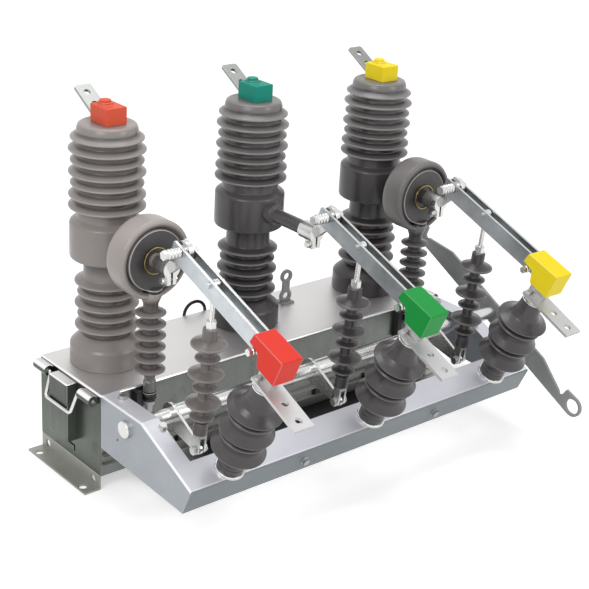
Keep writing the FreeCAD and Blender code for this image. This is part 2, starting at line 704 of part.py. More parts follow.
def frame_screws():
    screws = Piece("frame_screws")
    shank = [screw_holes(where) for where in ("flat", "strip", "lip")]
    depth = -S.frame_sheet - 6
    screws.pad("z", shank[0], S.frame_top + depth, S.frame_top)
    for spot in shank[1]:
        screws.tilted("Pad", [spot], STRIP_FRAME, S.frame_slope, depth, 0)
    for spot in shank[2]:
        screws.tilted("Pad", [spot], LIP_FRAME, S.frame_slope + 90, depth, 0)
    for x, y in screw_places("flat"):
        screws.pad("z", [Circle(x, y, 8.5)], S.frame_top, S.frame_top + 1.6)
        screws.pad("z", [hexagon(x, y, 13)], S.frame_top + 1.6, S.frame_top + 7)
    for where, origin, tilt in (("strip", STRIP_FRAME, S.frame_slope),
                                ("lip", LIP_FRAME, S.frame_slope + 90)):
        for x, y in screw_places(where):
            screws.tilted("Pad", [Circle(x, y, 8.5)], origin, tilt, 0, 1.6)
            screws.tilted("Pad", [hexagon(x, y, 13)], origin, tilt, 1.6, 8)


def shaft_bearings():
    """A flanged bush in each side plate; the left one is closed by its cap."""
    bearings = Piece("shaft_bearings")
    outer = S.bearing_size / 2
    bore = S.shaft_size / 2 + S.running
    inside = half_box - S.frame_sheet - S.bearing_inside
    face = half_box + S.bearing_cap
    closed = -face + 2
    bearings.turn("x", [(0, -face), (outer - 1.5, -face), (outer, 1.5 - face), (outer, -inside),
                        (bore, -inside), (bore, closed), (0, closed)],
                  (shaft_y, S.shaft_height))
    bearings.turn("x", [(bore, inside), (outer, inside), (outer, half_box), (outer + 4, half_box),
                        (outer + 4, half_box + 3), (outer, face), (bore, face)],
                  (shaft_y, S.shaft_height))


def disconnector_shaft():
    shaft = Piece("disconnector_shaft", 0, shaft_y, S.shaft_height)
    left = S.gap - half_box - S.bearing_cap + 2
    right = half_box + S.lever_out + S.lever_sheet + 10
    outer = S.shaft_size / 2
    shaft.turn("x", [(outer - S.shaft_wall, left), (outer, left), (outer, right),
                     (outer - S.shaft_wall, right)])
    for x in PHASES.values():
        start = x + S.crank_sheet / 2 + 3
        shaft.turn("x", [(outer, start), (S.sleeve_size / 2, start),
                         (S.sleeve_size / 2, start + S.sleeve_length),
                         (outer, start + S.sleeve_length)])


def crank(phase):
    plate = Piece(f"crank_{phase}", PHASES[phase], shaft_y, S.shaft_height, S.blade_slope)
    half = S.crank_sheet / 2
    tip = (-S.crank_throw, 0)
    plate.link("x", (0, 0), S.crank_root, tip, S.crank_tip, -half, half)
    plate.pocket("x", [Circle(0, 0, S.shaft_size / 2),
                       Circle(*tip, S.pin_size / 2 + S.running)], -half - 1, half + 1)
    plate.turn("x", [(S.shaft_size / 2, half), (S.crank_root - 3, half), (S.shaft_size / 2, half + 3)])


def operating_lever():
    lever = Piece("operating_lever", half_box + S.lever_out, shaft_y, S.shaft_height,
                  S.lever_slope)
    low = -S.lever_width / 2 + 0.5
    high = low + S.lever_width
    ring = S.lever_ring / 2
    far = S.lever_half
    upper = [(far, low + 2 * ring), (far - 32, low + 43), (far - 34, low + 24),
             (far - 40, low + 18), (far - 47, low + 24), (far - 118, high)]
    outline = [(-far, low), (far, low)] + upper + [(-y, z) for y, z in reversed(upper)]
    t = S.lever_sheet
    lever.pad("x", [outline], 0, t)
    for side in (-1, 1):
        lever.pad("x", [Circle(far * side, low + ring, ring)], 0, t)
    lever.pocket("x", [Circle(far * side, low + ring, S.lever_eye / 2) for side in (-1, 1)],
                 -1, t + 1)
    lever.pocket("x", [Circle(0, 0, S.shaft_size / 2)], -1, t + 1)
    lever.pocket("x", [Circle(52 * side, 0, 4) for side in (-1, 1)], -1, t + 1)


ROD_FOOT, ROD_HEAD = 34, 250


def pull_rod(phase):
    """The rubber-clad rod between its lower fork and its upper stem."""
    rod = Piece(f"pull_rod_{phase}", PHASES[phase], *crank_pin, link_lean)
    core, cap = 11, 13.5
    big, small = 33, 23
    profile = [(0, ROD_FOOT), (cap, ROD_FOOT), (cap, ROD_FOOT + 26), (core, ROD_FOOT + 26)]
    for level in (98.5, 158.5, 218.5):
        profile += shed(core, small, level - 28, 6, 3)
        profile += shed(core, big, level, 9, 3)
    profile = profile[:-1] + [(cap, ROD_HEAD - 23), (cap, ROD_HEAD), (0, ROD_HEAD)]
    rod.turn("z", profile)


def rod_fittings(phase):
    """The fork and its pin on the crank, and the stem and eye on the blade's rivet."""
    metal = Piece(f"rod_fittings_{phase}", PHASES[phase], *crank_pin, link_lean)
    metal.pad("z", [hexagon(0, 0, 17)], ROD_HEAD, ROD_HEAD + 15)
    metal.pad("z", [Circle(0, 0, 5)], ROD_HEAD + 15, link_length - 8)
    eye = S.rivet_size / 2 + 5
    eye_half = S.blade_gap / 2 - 2.5
    metal.pad("x", [Circle(0, link_length, eye)], -eye_half, eye_half)
    metal.pocket("x", [Circle(0, link_length, S.rivet_size / 2 + S.gap)],
                 -eye_half - 1, eye_half + 1)
    prong, clear = 4, S.crank_sheet / 2 + 2
    for side in (-1, 1):
        sides = (clear, clear + prong) if side > 0 else (-clear - prong, -clear)
        metal.pad("x", [rectangle(-9, 9, 0, ROD_FOOT - 8)], *sides)
        metal.pad("x", [Circle(0, 0, 9)], *sides)
    metal.pad("z", [rectangle(-clear - prong, clear + prong, -9, 9)], ROD_FOOT - 8, ROD_FOOT)
    reach = clear + prong
    bolt(metal, "x", (0, 0), -reach, (S.pin_size, reach * 2 + 6), 15, 6, reach)


def blade(phase):
    """Two strips side by side, joined by the rivet that carries the pull rod."""
    blade = Piece(f"blade_{phase}", PHASES[phase], pivot_y, S.blade_height, S.blade_slope)
    top = S.blade_above
    low = top - S.blade_width
    nose = -S.blade_length
    outline = [(S.blade_tail, low), (S.blade_tail, top), (nose + 60, top), (nose, top - 8),
               (nose, low)]
    inner = S.blade_gap / 2
    outer = inner + S.blade_sheet
    rivet = (-S.crank_throw, 0)
    for sides in ((inner, outer), (-outer, -inner)):
        blade.pad("x", [outline], *sides)
    blade.round_edges(4, any_of(along("x", S.blade_tail, low), along("x", S.blade_tail, top)))
    holes = [Circle(0, 0, S.pin_size / 2),
             Circle(-S.clamp_bolt_reach, -S.clamp_bolt_drop, 4)]
    blade.pocket("x", holes, -outer - 1, outer + 1)
    blade.pad("x", [Circle(*rivet, S.rivet_size / 2)], -outer, outer)
    for side in (-1, 1):
        sides = (outer, outer + 5) if side > 0 else (-outer - 5, -outer)
        blade.pad("x", [Circle(*rivet, 6)], *sides)


def blade_bolts(phase):
    """The pivot bolt and the front clamp bolt, each with a stack of spring washers."""
    bolts = Piece(f"blade_bolts_{phase}", PHASES[phase], pivot_y, S.blade_height, S.blade_slope)
    outer = S.blade_gap / 2 + S.blade_sheet
    stacks = (((0, 0), S.pin_size / 2, 10, 28, 4, 16), (
        (-S.clamp_bolt_reach, -S.clamp_bolt_drop), as_size(4), 7, 12, 2, 12))
    for centre, shank, washer, length, waves, head in stacks:
        profile = [(shank, -outer)]
        for wave in range(waves):
            step = as_size(length) / waves
            crest = -outer - step * (wave + 0.5)
            profile += [(washer, crest + step * 0.35), (washer, crest - step * 0.1),
                        (washer - 2, crest - step * 0.5)]
        profile.append((shank, -outer - length))
        bolts.turn("x", profile, centre)
        bolt(bolts, "x", centre, -outer - length, (shank * 2, outer * 2 + length + 12),
             head, 7, outer)
    spacer = S.blade_gap / 2
    face = S.lug_plate / 2 + S.gap
    for sides in ((face, spacer), (-spacer, -face)):
        ring = [Circle(0, 0, 12), Circle(0, 0, S.pin_size / 2)]
        bolts.pad("x", ring, *sides)


def blade_cover(phase):
    """The coloured hood over the blade's tip, open below and behind."""
    hood = Piece(f"blade_cover_{phase}", PHASES[phase], pivot_y, S.blade_height, S.blade_slope)
    half = S.hood_width / 2
    wall = S.hood_wall
    nose = -S.blade_length - 13
    back = nose + S.hood_length
    top = S.blade_above + wall + 0.5
    low = S.blade_above - S.blade_width - 12
    outline = [(back - 1, top), (back + 4, -8), (back - 21, -12), (back - 30, low),
               (nose + 3, low - 1), (nose, top + 2)]
    hood.pad("x", [outline], -half, half)

    def rim(edge):
        ends = [vertex.Point for vertex in edge.Vertexes]
        return (len(ends) == 2 and all(abs(end.y - nose.value) < 1 for end in ends)
                and abs(ends[0].x - ends[1].x) > 1)
    hood.round_edges(3, rim)
    inner = half - wall
    room = [(back + 8, top - wall), (nose + wall, top + 2 - wall), (nose + 3 + wall, low - 9),
            (back + 8, low - 9)]
    hood.pocket("x", [room], -inner, inner)
    strip = S.blade_gap / 2 + S.blade_sheet
    for sides in ((strip, inner), (-inner, -strip)):
        hood.pad("x", [rectangle(nose + 26, nose + 30, -14, S.blade_above - 6)], *sides)


def shaped_pole(phase):
    """Silicone-clad pole, hollow for the interrupter above and its drive rod below."""
    pole = Piece(f"pole_{phase}", PHASES[phase], pole_y, 0)
    core, neck = S.pole_core / 2, S.pole_neck / 2
    barrel, foot = S.pole_barrel / 2, S.pole_foot / 2
    profile = [(S.pole_spigot / 2, S.box_top - S.box_sheet - 4), (S.pole_spigot / 2, S.box_top),
               (foot, S.box_top), (foot, S.box_top + 38), (foot - 4, S.box_top + 43),
               (neck + 6, S.box_top + 57), (neck, S.box_top + 61)]
    barrel_low, barrel_high = S.arm_height - 31, S.arm_height + 13
    lower_tips = (16.5, 11.5, 16.5, 11.5, 16.5)
    foot_shed = S.box_top + 76
    pitch = (barrel_low - 24 - S.neck_room - foot_shed) / (len(lower_tips) - 1)
    for number, tip in enumerate(lower_tips):
        profile += shed(neck, neck + tip, foot_shed + pitch * number, pitch * 0.4, pitch * 0.178)
    profile += [(neck - 1, barrel_low - 24), (barrel, barrel_low), (barrel, barrel_high),
                (core, barrel_high + 24)]
    tips = (15.5, 15, 11.5, 15, 11.5, 15, 11.5)
    lowest = barrel_high + 24 + S.shed_room
    pitch = (S.pole_top - S.pole_head - lowest) / (len(tips) - 1)
    for number, tip in enumerate(tips):
        profile += shed(core, core + tip, lowest + pitch * number, pitch * 0.413, pitch * 0.138)
    step = S.box_top + 202
    top = S.pole_top
    hole = S.stud_size / 2
    profile += [(core, top - 9), (core - 3, top - 3), (core - 10, top), (hole, top),
                (hole, top - 12), (S.upper_bore / 2, top - 12), (S.upper_bore / 2, step),
                (S.lower_bore / 2, step - 4), (S.lower_bore / 2, S.box_top - S.box_sheet - 4)]
    pole.turn("z", profile)
    arm = S.arm_size / 2
    at_y = (0, S.arm_height)
    collar = -S.pole_barrel / 2 - 9
    pole.turn("y", [(arm, -S.arm_reach - pole_y), (arm, collar), (arm + 6, collar),
                    (arm + 9, collar + 24), (0, collar + 24), (0, -S.arm_reach - pole_y)], at_y)


def vacuum_interrupter(phase):
    bottle = Piece(f"vacuum_interrupter_{phase}", PHASES[phase], pole_y, 0)
    ceramic = S.bottle_size / 2
    top = S.pole_top - 12
    foot = S.bottle_foot
    middle = (top + foot) / 2
    guide = S.stem_size / 2 + S.running
    stud = S.stud_size / 2
    bottle.turn("z", [
        (0, S.pole_top), (stud, S.pole_top), (stud, top), (ceramic - 6, top),
        (ceramic - 6, top - 6), (ceramic, top - 10), (ceramic, middle + 7),
        (ceramic + 3, middle + 5), (ceramic + 3, middle - 5), (ceramic, middle - 7),
        (ceramic, foot + 10),
        (ceramic - 6, foot + 6), (ceramic - 6, foot), (guide, foot), (guide, foot + 70),
        (0, foot + 70)])


def drive_rod(phase):
    rod = Piece(f"drive_rod_{phase}", PHASES[phase], pole_y, 0)
    radius, stem = S.rod_size / 2, S.stem_size / 2
    foot = S.main_height - 28
    head = S.bottle_foot - 116
    low = foot + 110
    waist = (head - low) / 6
    thick, thin = radius + 7, radius - 3
    profile = [(0, foot), (radius, foot), (radius, low), (thick, low + waist * 0.7)]
    for level in (low + waist * 1.5, low + waist * 3):
        profile += [(thick, level), (thin, level + waist * 0.3), (thin, level + waist * 0.6),
                    (thick, level + waist * 0.9)]
    rod.turn("z", profile + [(thick, head - 12), (stem, head), (stem, S.bottle_foot + 56),
                             (0, S.bottle_foot + 56)])
    slot = S.drive_lever / 2 + S.gap
    tip = as_size(8)
    rod.pocket("z", [rectangle(-slot, slot, -tip - 1, radius + 1)],
               S.main_height - 16, S.main_height + tip + S.gap)


def main_shaft():
    shaft = Piece("main_shaft", 0, S.main_back, S.main_height)
    reach = S.main_bracket + S.bracket_sheet / 2 + 6
    shaft.pad("x", [Circle(0, 0, S.main_size / 2)], -reach, reach)
    throw = S.main_back - pole_y
    half = S.drive_lever / 2
    tip = 8
    for x in PHASES.values():
        shaft.pad("x", [Circle(0, 0, S.main_size / 2 + 5)], x - half, x + half)
        shaft.pad("x", [rectangle(-throw, 0, 2 - tip, tip - 2)], x - half, x + half)
        shaft.pad("x", [Circle(-throw, 0, tip)], x - half, x + half)


def spring_mechanism():
    """The spring unit on the base plate: two cheeks, the spring drum, the motor and a latch."""
    unit = Piece("spring_mechanism", S.phase_spacing / 2, front_wall + 62,
                 S.box_floor + S.floor_sheet)
    cheeks = ((-62, -58), (58, 62))
    outline = [(-40, 0), (52, 0), (52, 60), (30, 120), (-40, 120)]
    for sides in cheeks:
        unit.pad("x", [outline], *sides)
    unit.pad("z", [rectangle(-58, 58, -40, 52)], 0, 4)
    unit.pad("x", [Circle(0, 78, 33)], -44, 6)
    unit.pad("x", [Circle(0, 78, 10)], -58, 58)
    unit.pad("x", [Circle(0, 78, 38)], 30, 36)
    unit.pad("x", [Circle(24, 26, 18)], -58, 30)


def terminal_clamp(phase):
    """The split clamp round the arm's end, with the lug that carries the blade."""
    clamp = Piece(f"terminal_clamp_{phase}", PHASES[phase])
    radius = S.clamp_size / 2
    half = S.lug_plate / 2
    front, back = -S.clamp_front, -S.clamp_rear
    at = (0, S.arm_height)
    clamp.pad("y", [Circle(*at, radius)], front, back)
    ear_low = S.arm_height - radius - 12
    clamp.pad("y", [rectangle(-10, 10, ear_low, S.arm_height)], front, back - 14)
    clamp.link("x", (front + radius - 4, S.arm_height + 2), radius - 2,
               (pivot_y, S.blade_height), S.lug_disc / 2, -half, half)
    clamp.pocket("y", [Circle(*at, S.arm_size / 2)], -S.arm_reach, back + 1)
    clamp.pocket("y", [rectangle(-2, 2, ear_low - 1, S.arm_height)], front - 1, back + 1)
    clamp.pocket("x", [Circle(pivot_y, S.blade_height, S.pin_size / 2 + S.running)],
                 -half - 1, half + 1)
    bolt(clamp, "x", ((front + back - 14) / 2, ear_low + 7), -10, (7, 27), 12, 6, 10)


def current_transformer(phase):
    """A cast ring round the arm on a shedded stalk, with a disc set in its face."""
    ct = Piece(f"current_transformer_{phase}", PHASES[phase])
    rim, back, face = S.ring_size / 2, -S.ring_rear, -S.ring_front
    bore = S.arm_size / 2 + S.gap
    step = S.ring_size / 2 - 12
    disc = step - 6
    ct.turn("y", [(bore, back), (rim - 12, back), (rim - 2, back - 6), (rim, back - 16),
                  (rim, face + 5), (rim - 5, face), (step, face), (step, face + 12),
                  (disc, face + 12), (disc, face + 1), (bore + 12, face + 3),
                  (bore + 12, face), (bore + 9.5, face), (bore + 9.5, face + 4),
                  (bore, face + 4)], (0, S.arm_height))
    stalk = -S.stalk_front
    profile = [(0, S.stalk_foot), (12, S.stalk_foot), (14, S.stalk_foot + 4)]
    under = S.arm_height - rim
    lowest = S.stalk_foot + 13
    pitch = (under - 30 - lowest) / 5
    for number in range(6):
        profile += shed(14, 29, lowest + pitch * number, pitch * 0.26, pitch * 0.174)
    profile += [(14, under - 12), (22, under + 8), (22, under + 22), (0, under + 22)]
    ct.turn("z", profile, (0, stalk))


def ct_glands():
    glands = Piece("ct_glands")
    radius = S.gland_size / 2
    top, foot = S.stalk_foot, S.gland_foot
    for phase in ("a", "c"):
        glands.turn("z", [
            (0, foot), (7, foot), (8, foot + 14), (11, foot + 16), (11, foot + 24),
            (9, foot + 26), (radius, foot + 28), (radius, foot + 36), (radius - 2, foot + 38),
            (radius, foot + 40), (radius, foot + 46), (radius - 1, foot + 48),
            (radius - 1, top - 12), (radius - 3, top - 10), (radius - 3, top), (0, top)],
            (PHASES[phase], -S.stalk_front))


def terminal_blocks():
    """Black blocks beside the glands, and the small grey ones seated in the rail."""
    blocks = Piece("terminal_blocks")
    side = S.gland_size / 2 + 2
    for phase in ("a", "c"):
        x = PHASES[phase]
        blocks.pad("z", [rectangle(x - side - 12, x - side, front_wall - 13, front_wall)],
                   S.gland_foot - 15, S.box_top - 7)
    seat = front_wall - S.rail_sheet
    lower = S.rail_height - S.rail_width / 2 + S.rail_sheet
    upper = S.rail_height + S.rail_width / 2 - S.rail_sheet
    for spot in (-0.74, -0.25, 0.3, 0.72):
        x = S.phase_spacing * spot
        blocks.pad("y", [rectangle(x - 16, x + 16, lower, upper)], seat - 8, seat)


def post_insulator(phase):
    """The rubber of a leaning post: a cone over three broad rims with a small lip above each."""
    post = Piece(f"post_insulator_{phase}", PHASES[phase], *post_foot, S.frame_slope)
    neck = 22
    profile = [(0, S.seat_height), (neck, S.seat_height), (neck, S.seat_height + 9), (30, 20),
               (48.5, 34), (49, 36.5), (48.5, 39)]
    for below, lip, broad in ((0, 44, 50), (1, 43.5, 47)):
        rim = rim_pitch * (below + 0.724)
        profile += [(41, rim + 27), (lip, rim + 38), (lip, rim + 41), (37.5, rim + 42.5),
                    (37.5, rim + 46), (broad - 0.5, rim + rim_pitch - 2),
                    (broad, rim + rim_pitch), (broad - 0.5, rim + rim_pitch + 2)]
    for radius, share in ((40, 0.13), (33.5, 0.3), (28, 0.51), (24.5, 0.75), (22, 1)):
        profile.append((radius, top_rim + (post_cap - top_rim) * share))
    post.turn("z", profile + [(0, post_cap)])


def post_fittings(phase):
    """The light ring and stud that hold a post on the strip, and the metal cap on its top."""
    metal = Piece(f"post_fittings_{phase}", PHASES[phase], *post_foot, S.frame_slope)
    seat = S.post_seat / 2
    metal.turn("z", [(0, 0), (seat, 0), (seat, S.seat_height - 1), (seat - 1, S.seat_height),
                     (0, S.seat_height)])
    metal.pad("z", [Circle(0, 0, 6)], -S.frame_sheet - 8, 0)
    metal.pad("z", [hexagon(0, 0, 19)], -S.frame_sheet - 8, -S.frame_sheet)
    metal.turn("z", [(0, post_cap), (23, post_cap), (23, post_cap + 2), (20, post_cap + 3),
                     (20, post_height - 3), (23, post_height - 2), (23, post_height),
                     (0, post_height)])


def front_terminal(phase):
    """The bar on the post's top, with the upright contact that enters the blade."""
    bar = Piece(f"front_terminal_{phase}", PHASES[phase], *post_foot, S.frame_slope)
    low = post_height
    high = low + S.terminal_sheet
    half = S.front_bar_width / 2
    reach = S.front_bar_reach
    bar.pad("z", [rectangle(-half, half, -reach, S.front_bar_back)], low, high)
    outer_hole = 18 - reach
    bar.pocket("z", [Circle(0, outer_hole, S.terminal_hole / 2),
                     Circle(0, outer_hole + S.terminal_pitch, S.terminal_hole / 2)],
               low - 1, high + 1)
    blade_room = S.blade_gap / 2 - S.gap
    half_contact = S.contact_length / 2
    bar.pad("x", [rectangle(-half_contact, half_contact, high, high + S.contact_height)],
            -blade_room, blade_room)
    bar.round_edges(4, any_of(
        along("x", -half_contact, high + S.contact_height),
        along("x", half_contact, high + S.contact_height)))
    for x in (-14, 14):
        bar.pad("z", [hexagon(x, 10, 10)], high, high + 6)


def top_terminal(phase):
    """A bar bolted on the pole's stud, bent up to the rear, with two holes."""
    flat, rise, t = S.terminal_flat, S.terminal_rise, S.terminal_sheet
    sin_t, cos_t = sine(S.terminal_angle), cosine(S.terminal_angle)
    bar = Piece(f"top_terminal_{phase}", PHASES[phase], pole_y + 10, S.pole_top,
                S.terminal_angle)
    half = S.terminal_width / 2
    inner = t * (1 - cos_t) / sin_t
    bar.pad("x", [[(rise, 0), (0, 0), (-flat * cos_t, flat * sin_t),
                   (t * sin_t - flat * cos_t, flat * sin_t + t * cos_t), (inner, t), (rise, t)]],
            -half, half)
    holes = [Circle(0, rise - 20, S.terminal_hole / 2), Circle(0, rise - 51, S.terminal_hole / 2)]
    bar.pocket("z", holes, -1, t + 1)
    bar.round_edges(5, any_of(along("z", -half, rise), along("z", half, rise)))
    stud = (as_size(-10) * cos_t, as_size(10) * sin_t)
    bar.tilted("Pad", [hexagon(0, 0, 19)], stud, -S.terminal_angle, t, t + 9)


def top_cover(phase):
    """The coloured cap over the terminal's bolt, open below and behind."""
    cap = Piece(f"top_cover_{phase}", PHASES[phase], pole_y, S.pole_top)
    half, wall, height = S.terminal_width / 2 + 4, S.hood_wall, 33
    front, back = -31, 24
    cap.pad("z", [rectangle(-half, half, front, back)], 0, height)
    cap.pad("z", [rectangle(-15, 7, -10, 14)], height, height + 5)
    cap.round_edges(2, any_of(along("z", -half, front), along("z", half, front),
                              along("x", front, height), along("y", -half, height),
                              along("y", half, height)))
    cap.pocket("z", [rectangle(-half + wall, half - wall, front + wall, back + 1)],
               -1, height - wall)


def lifting_plate():
    plate = Piece("lifting_plate", 131, 46, S.box_top)
    half, radius, eye = 3, 15, 8
    rings = (16, 61)
    plate.pad("z", [rectangle(-radius, radius, -14, 14)], 0, 4)
    plate.pad("y", [Circle(0, rings[0], radius)], -half, half)
    plate.pad("y", [Circle(0, rings[1], radius)], -half, half)
    plate.pad("y", [rectangle(-9, 9, rings[0], rings[1])], -half, half)
    plate.pad("y", [rectangle(-11, 11, 3, rings[0])], -half, half)
    plate.pocket("y", [Circle(0, level, eye) for level in rings], -half - 1, half + 1)


def rear_loop():
    """A bent rod welded on the rear wall, as a lifting eye."""
    loop = Piece("rear_loop", -63, S.box_rear + 3.5, 0)
    loop.aim((0, 0, 1), 90)
    half, foot = 27, S.box_top - 46
    top = S.box_top + 22.5
    loop.wire([(-half, foot), (-half, top), (half, top), (half, foot)], half - 1, 7, "z")


mechanism_housing()
housing_base_plate()
mounting_foot("mounting_foot_left", -1)
mounting_foot("mounting_foot_right", 1)
end_cover()
handle_lugs()
handle("handle_left", -1, handle_lean)
handle("handle_right", 1, 0)
disconnector_frame()
frame_screws()
shaft_bearings()
disconnector_shaft()
operating_lever()
main_shaft()
spring_mechanism()
ct_glands()
terminal_blocks()
lifting_plate()
rear_loop()
for name in PHASES:
    crank(name)
    pull_rod(name)
    rod_fittings(name)
    blade(name)
    blade_bolts(name)
    blade_cover(name)
    shaped_pole(name)
    vacuum_interrupter(name)
    drive_rod(name)
    terminal_clamp(name)
    post_insulator(name)
    post_fittings(name)
    front_terminal(name)
    top_terminal(name)
    top_cover(name)
for name in ("a", "c"):
    current_transformer(name)

doc.recompute()

# Nothing is written before every object and every shape is sound

faults = []
for thing in doc.Objects:
    if "Invalid" in thing.State or "Error" in thing.State:
        faults.append(f"{thing.Label}: {thing.State}")
    if thing.TypeId in ("PartDesign::Pocket", "PartDesign::Groove"):
        before = thing.BaseFeature.Shape.Volume
        if thing.Shape.Volume > before - 0.01:
            faults.append(f"{thing.Label} cuts nothing")
for body in pieces:
    if body.Shape.isNull() or not body.Shape.isValid() or body.Shape.Volume <= 0:
        faults.append(f"{body.Label}: its shape is not sound")
if faults:
    raise RuntimeError("; ".join(faults))

os.makedirs("parts", exist_ok=True)
for body in pieces:
    body.Shape.exportStep(f"parts/{body.Label}.step")
print(f"{len(pieces)} sub-parts written")
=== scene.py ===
"""Looks of a three-pole outdoor vacuum breaker with its disconnector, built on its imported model."""

import json
import math

import bpy
from bpy.props import FloatProperty, FloatVectorProperty, IntProperty, PointerProperty
from mathutils import Matrix, Vector

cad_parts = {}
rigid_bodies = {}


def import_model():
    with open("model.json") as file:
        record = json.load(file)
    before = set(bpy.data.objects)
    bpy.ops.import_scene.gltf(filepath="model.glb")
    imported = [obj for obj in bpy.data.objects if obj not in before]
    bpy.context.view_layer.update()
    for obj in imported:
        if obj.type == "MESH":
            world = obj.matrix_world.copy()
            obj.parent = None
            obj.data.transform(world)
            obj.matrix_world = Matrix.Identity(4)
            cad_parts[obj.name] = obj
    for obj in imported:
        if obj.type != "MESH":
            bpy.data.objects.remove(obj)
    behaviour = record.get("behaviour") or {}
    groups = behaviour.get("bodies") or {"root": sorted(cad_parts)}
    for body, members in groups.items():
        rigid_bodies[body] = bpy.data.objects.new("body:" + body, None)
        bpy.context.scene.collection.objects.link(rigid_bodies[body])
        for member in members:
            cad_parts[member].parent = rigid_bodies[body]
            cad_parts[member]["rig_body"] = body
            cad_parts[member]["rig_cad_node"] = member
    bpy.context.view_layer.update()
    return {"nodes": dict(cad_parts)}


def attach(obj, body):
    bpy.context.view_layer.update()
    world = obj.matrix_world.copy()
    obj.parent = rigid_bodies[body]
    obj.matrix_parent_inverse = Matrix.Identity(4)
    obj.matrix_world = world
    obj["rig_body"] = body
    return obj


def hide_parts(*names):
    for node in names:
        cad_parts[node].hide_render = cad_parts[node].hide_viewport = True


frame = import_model()

bl_info = {
    "name": "Outdoor breaker looks",
    "version": (1, 0, 0),
    "blender": (4, 5, 0),
    "location": "3D View > Sidebar > Breaker",
    "description": "Rubber, sheet metal, blades and stage of an outdoor vacuum breaker",
    "category": "Object",
}

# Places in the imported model, in millimetres and radians. Pairs are (y, z) of the first phase.
MM = 0.001
PHASES = {"a": -340.0, "b": 0.0, "c": 340.0}
POLE_Y = 22.0
POLE_TOP = 677.0
BOX_TOP = 202.0
ARM_HEIGHT = 460.0
STALK_Y = -124.0
FRAME_SLOPE = math.radians(23.5)
POST_FOOT = (-373.04, 145.283)
CRANK_PIN = (-281.83, 141.4)
LINK_LEAN = math.radians(5.3)

# How meshes are merged, rounded and smoothed: gaps in metres, angles in radians, and the
# largest share of a side that one rounding may take.
LATHE_MERGE = 0.01 * MM
NODE_MERGE = 0.002 * MM
FLAT_ANGLE = math.radians(0.3)
PLATE_ANGLE = math.radians(32)
TURNED_ANGLE = math.radians(40)
LEAST_TURN = 0.05
LARGEST_REACH = 0.46

# Painted shade and highlight at a profile's corners, 1 for a painted highlight on a thin rim and 0
# for painted shade in a narrow root, and the longest run in mm of a thin rim and of a narrow root.
RIM_SHADING, WIDE_SHADING, PLAIN_SHADING, SLIM_SHADING, ROOT_SHADING = 1.0, 0.8, 0.7, 0.6, 0.0
RIM_RUN, ROOT_RUN = 6, 14

# Noise of the rubber: scale, detail and roughness.
RUBBER_CLOUD = (22, 4, 0.55)
RUBBER_SPECK = (420, 2, 0.5)

# Where a current transformer's tone changes, in metres: forward, up, and out from the middle
# of its face. Bands are given as low, full, fading and gone.
FACE_START = (0.126, 0.130)
STALK_END = (0.372, 0.392)
DISC_EDGE = (0.0562, 0.0572)
DISC_LINE = (0.0558, 0.0568, 0.0578, 0.0582)
DISC_GROOVE_SHADE = (0.0582, 0.0588, 0.0632, 0.0638)

# Bands up a cable gland, in metres.
GLAND_SLEEVE = (0.1730, 0.1735, 0.1945, 0.1950)
GLAND_LOW_RING = (0.1755, 0.1758, 0.1771, 0.1774)
GLAND_HIGH_RING = (0.1900, 0.1903, 0.1916, 0.1919)

# The floor: the bands in metres of its painted shadow under the box, whose middle is moved and which
# is stretched along X, and of its brighter far part.
PATCH_MOVE = (-0.025, 0.105, 0)
PATCH_SCALE = (0.25, 1, 1)
PATCH_EDGE = (0.07, 0.125)
FAR_START = (1.0, 4.5)
FLOOR_TONE = (0.86, 0.86, 0.86)
SHADOW_PATCH_TONE = (0.10, 0.10, 0.10)

# The camera, solved from the photograph: its place in metres and its own three directions.
CAMERA_PLACE = (-1.6766, -2.0372, 1.3815)
CAMERA_RIGHT = (0.76457, -0.64217, 0.05529)
CAMERA_UP = (0.21075, 0.33014, 0.92010)
CAMERA_BACK = (-0.60911, -0.69183, 0.38775)


def shade(red, green, blue):
    """A colour given on the 0 to 255 scale of a screen, as Blender's linear numbers."""
    return tuple((part / 255) ** 2.2 for part in (red, green, blue))


def scaled(colour, amount):
    """A colour times a number."""
    return tuple(part * amount for part in colour)


def colour_property(name, description, *screen):
    """A colour whose default is given on the 0 to 255 scale of a screen."""
    return FloatVectorProperty(name=name, description=description, default=shade(*screen),
                               subtype="COLOR", size=3, min=0.0, max=1.0)


def length_property(name, description, default, least, most):
    return FloatProperty(name=name, description=description, default=default, min=least,
                         max=most, unit="LENGTH")


def power_property(name, description, default):
    return FloatProperty(name=name, description=description, default=default, min=0.0,
                         max=500.0, unit="POWER")


class BreakerSizes(bpy.types.PropertyGroup):
    """Roundings of the pieces that Blender adds or dresses, and how finely it turns them."""

    spin_steps: IntProperty(name="Spin steps", description="Divisions of a turned piece",
                            default=64, min=24, max=128)
    rim: length_property("Shed rim", "Rounding of a weather shed's rim", 0.0013, 0.0002, 0.003)
    root: length_property("Shed root", "Rounding where a shed meets its core", 0.003, 0.0005, 0.008)
    plate_edge: length_property("Plate edge", "Rounding of cut plate edges", 0.0006, 0.0001, 0.002)
    gland_edge: length_property("Gland edge", "Rounding of the cable glands", 0.0004, 0.0001, 0.002)
    blade_edge: length_property("Blade edge", "Rounding of the blade strips", 0.0011, 0.0001, 0.002)
    moulded_edge: length_property("Moulded edge", "Rounding of moulded covers",
                                  0.0016, 0.0002, 0.004)


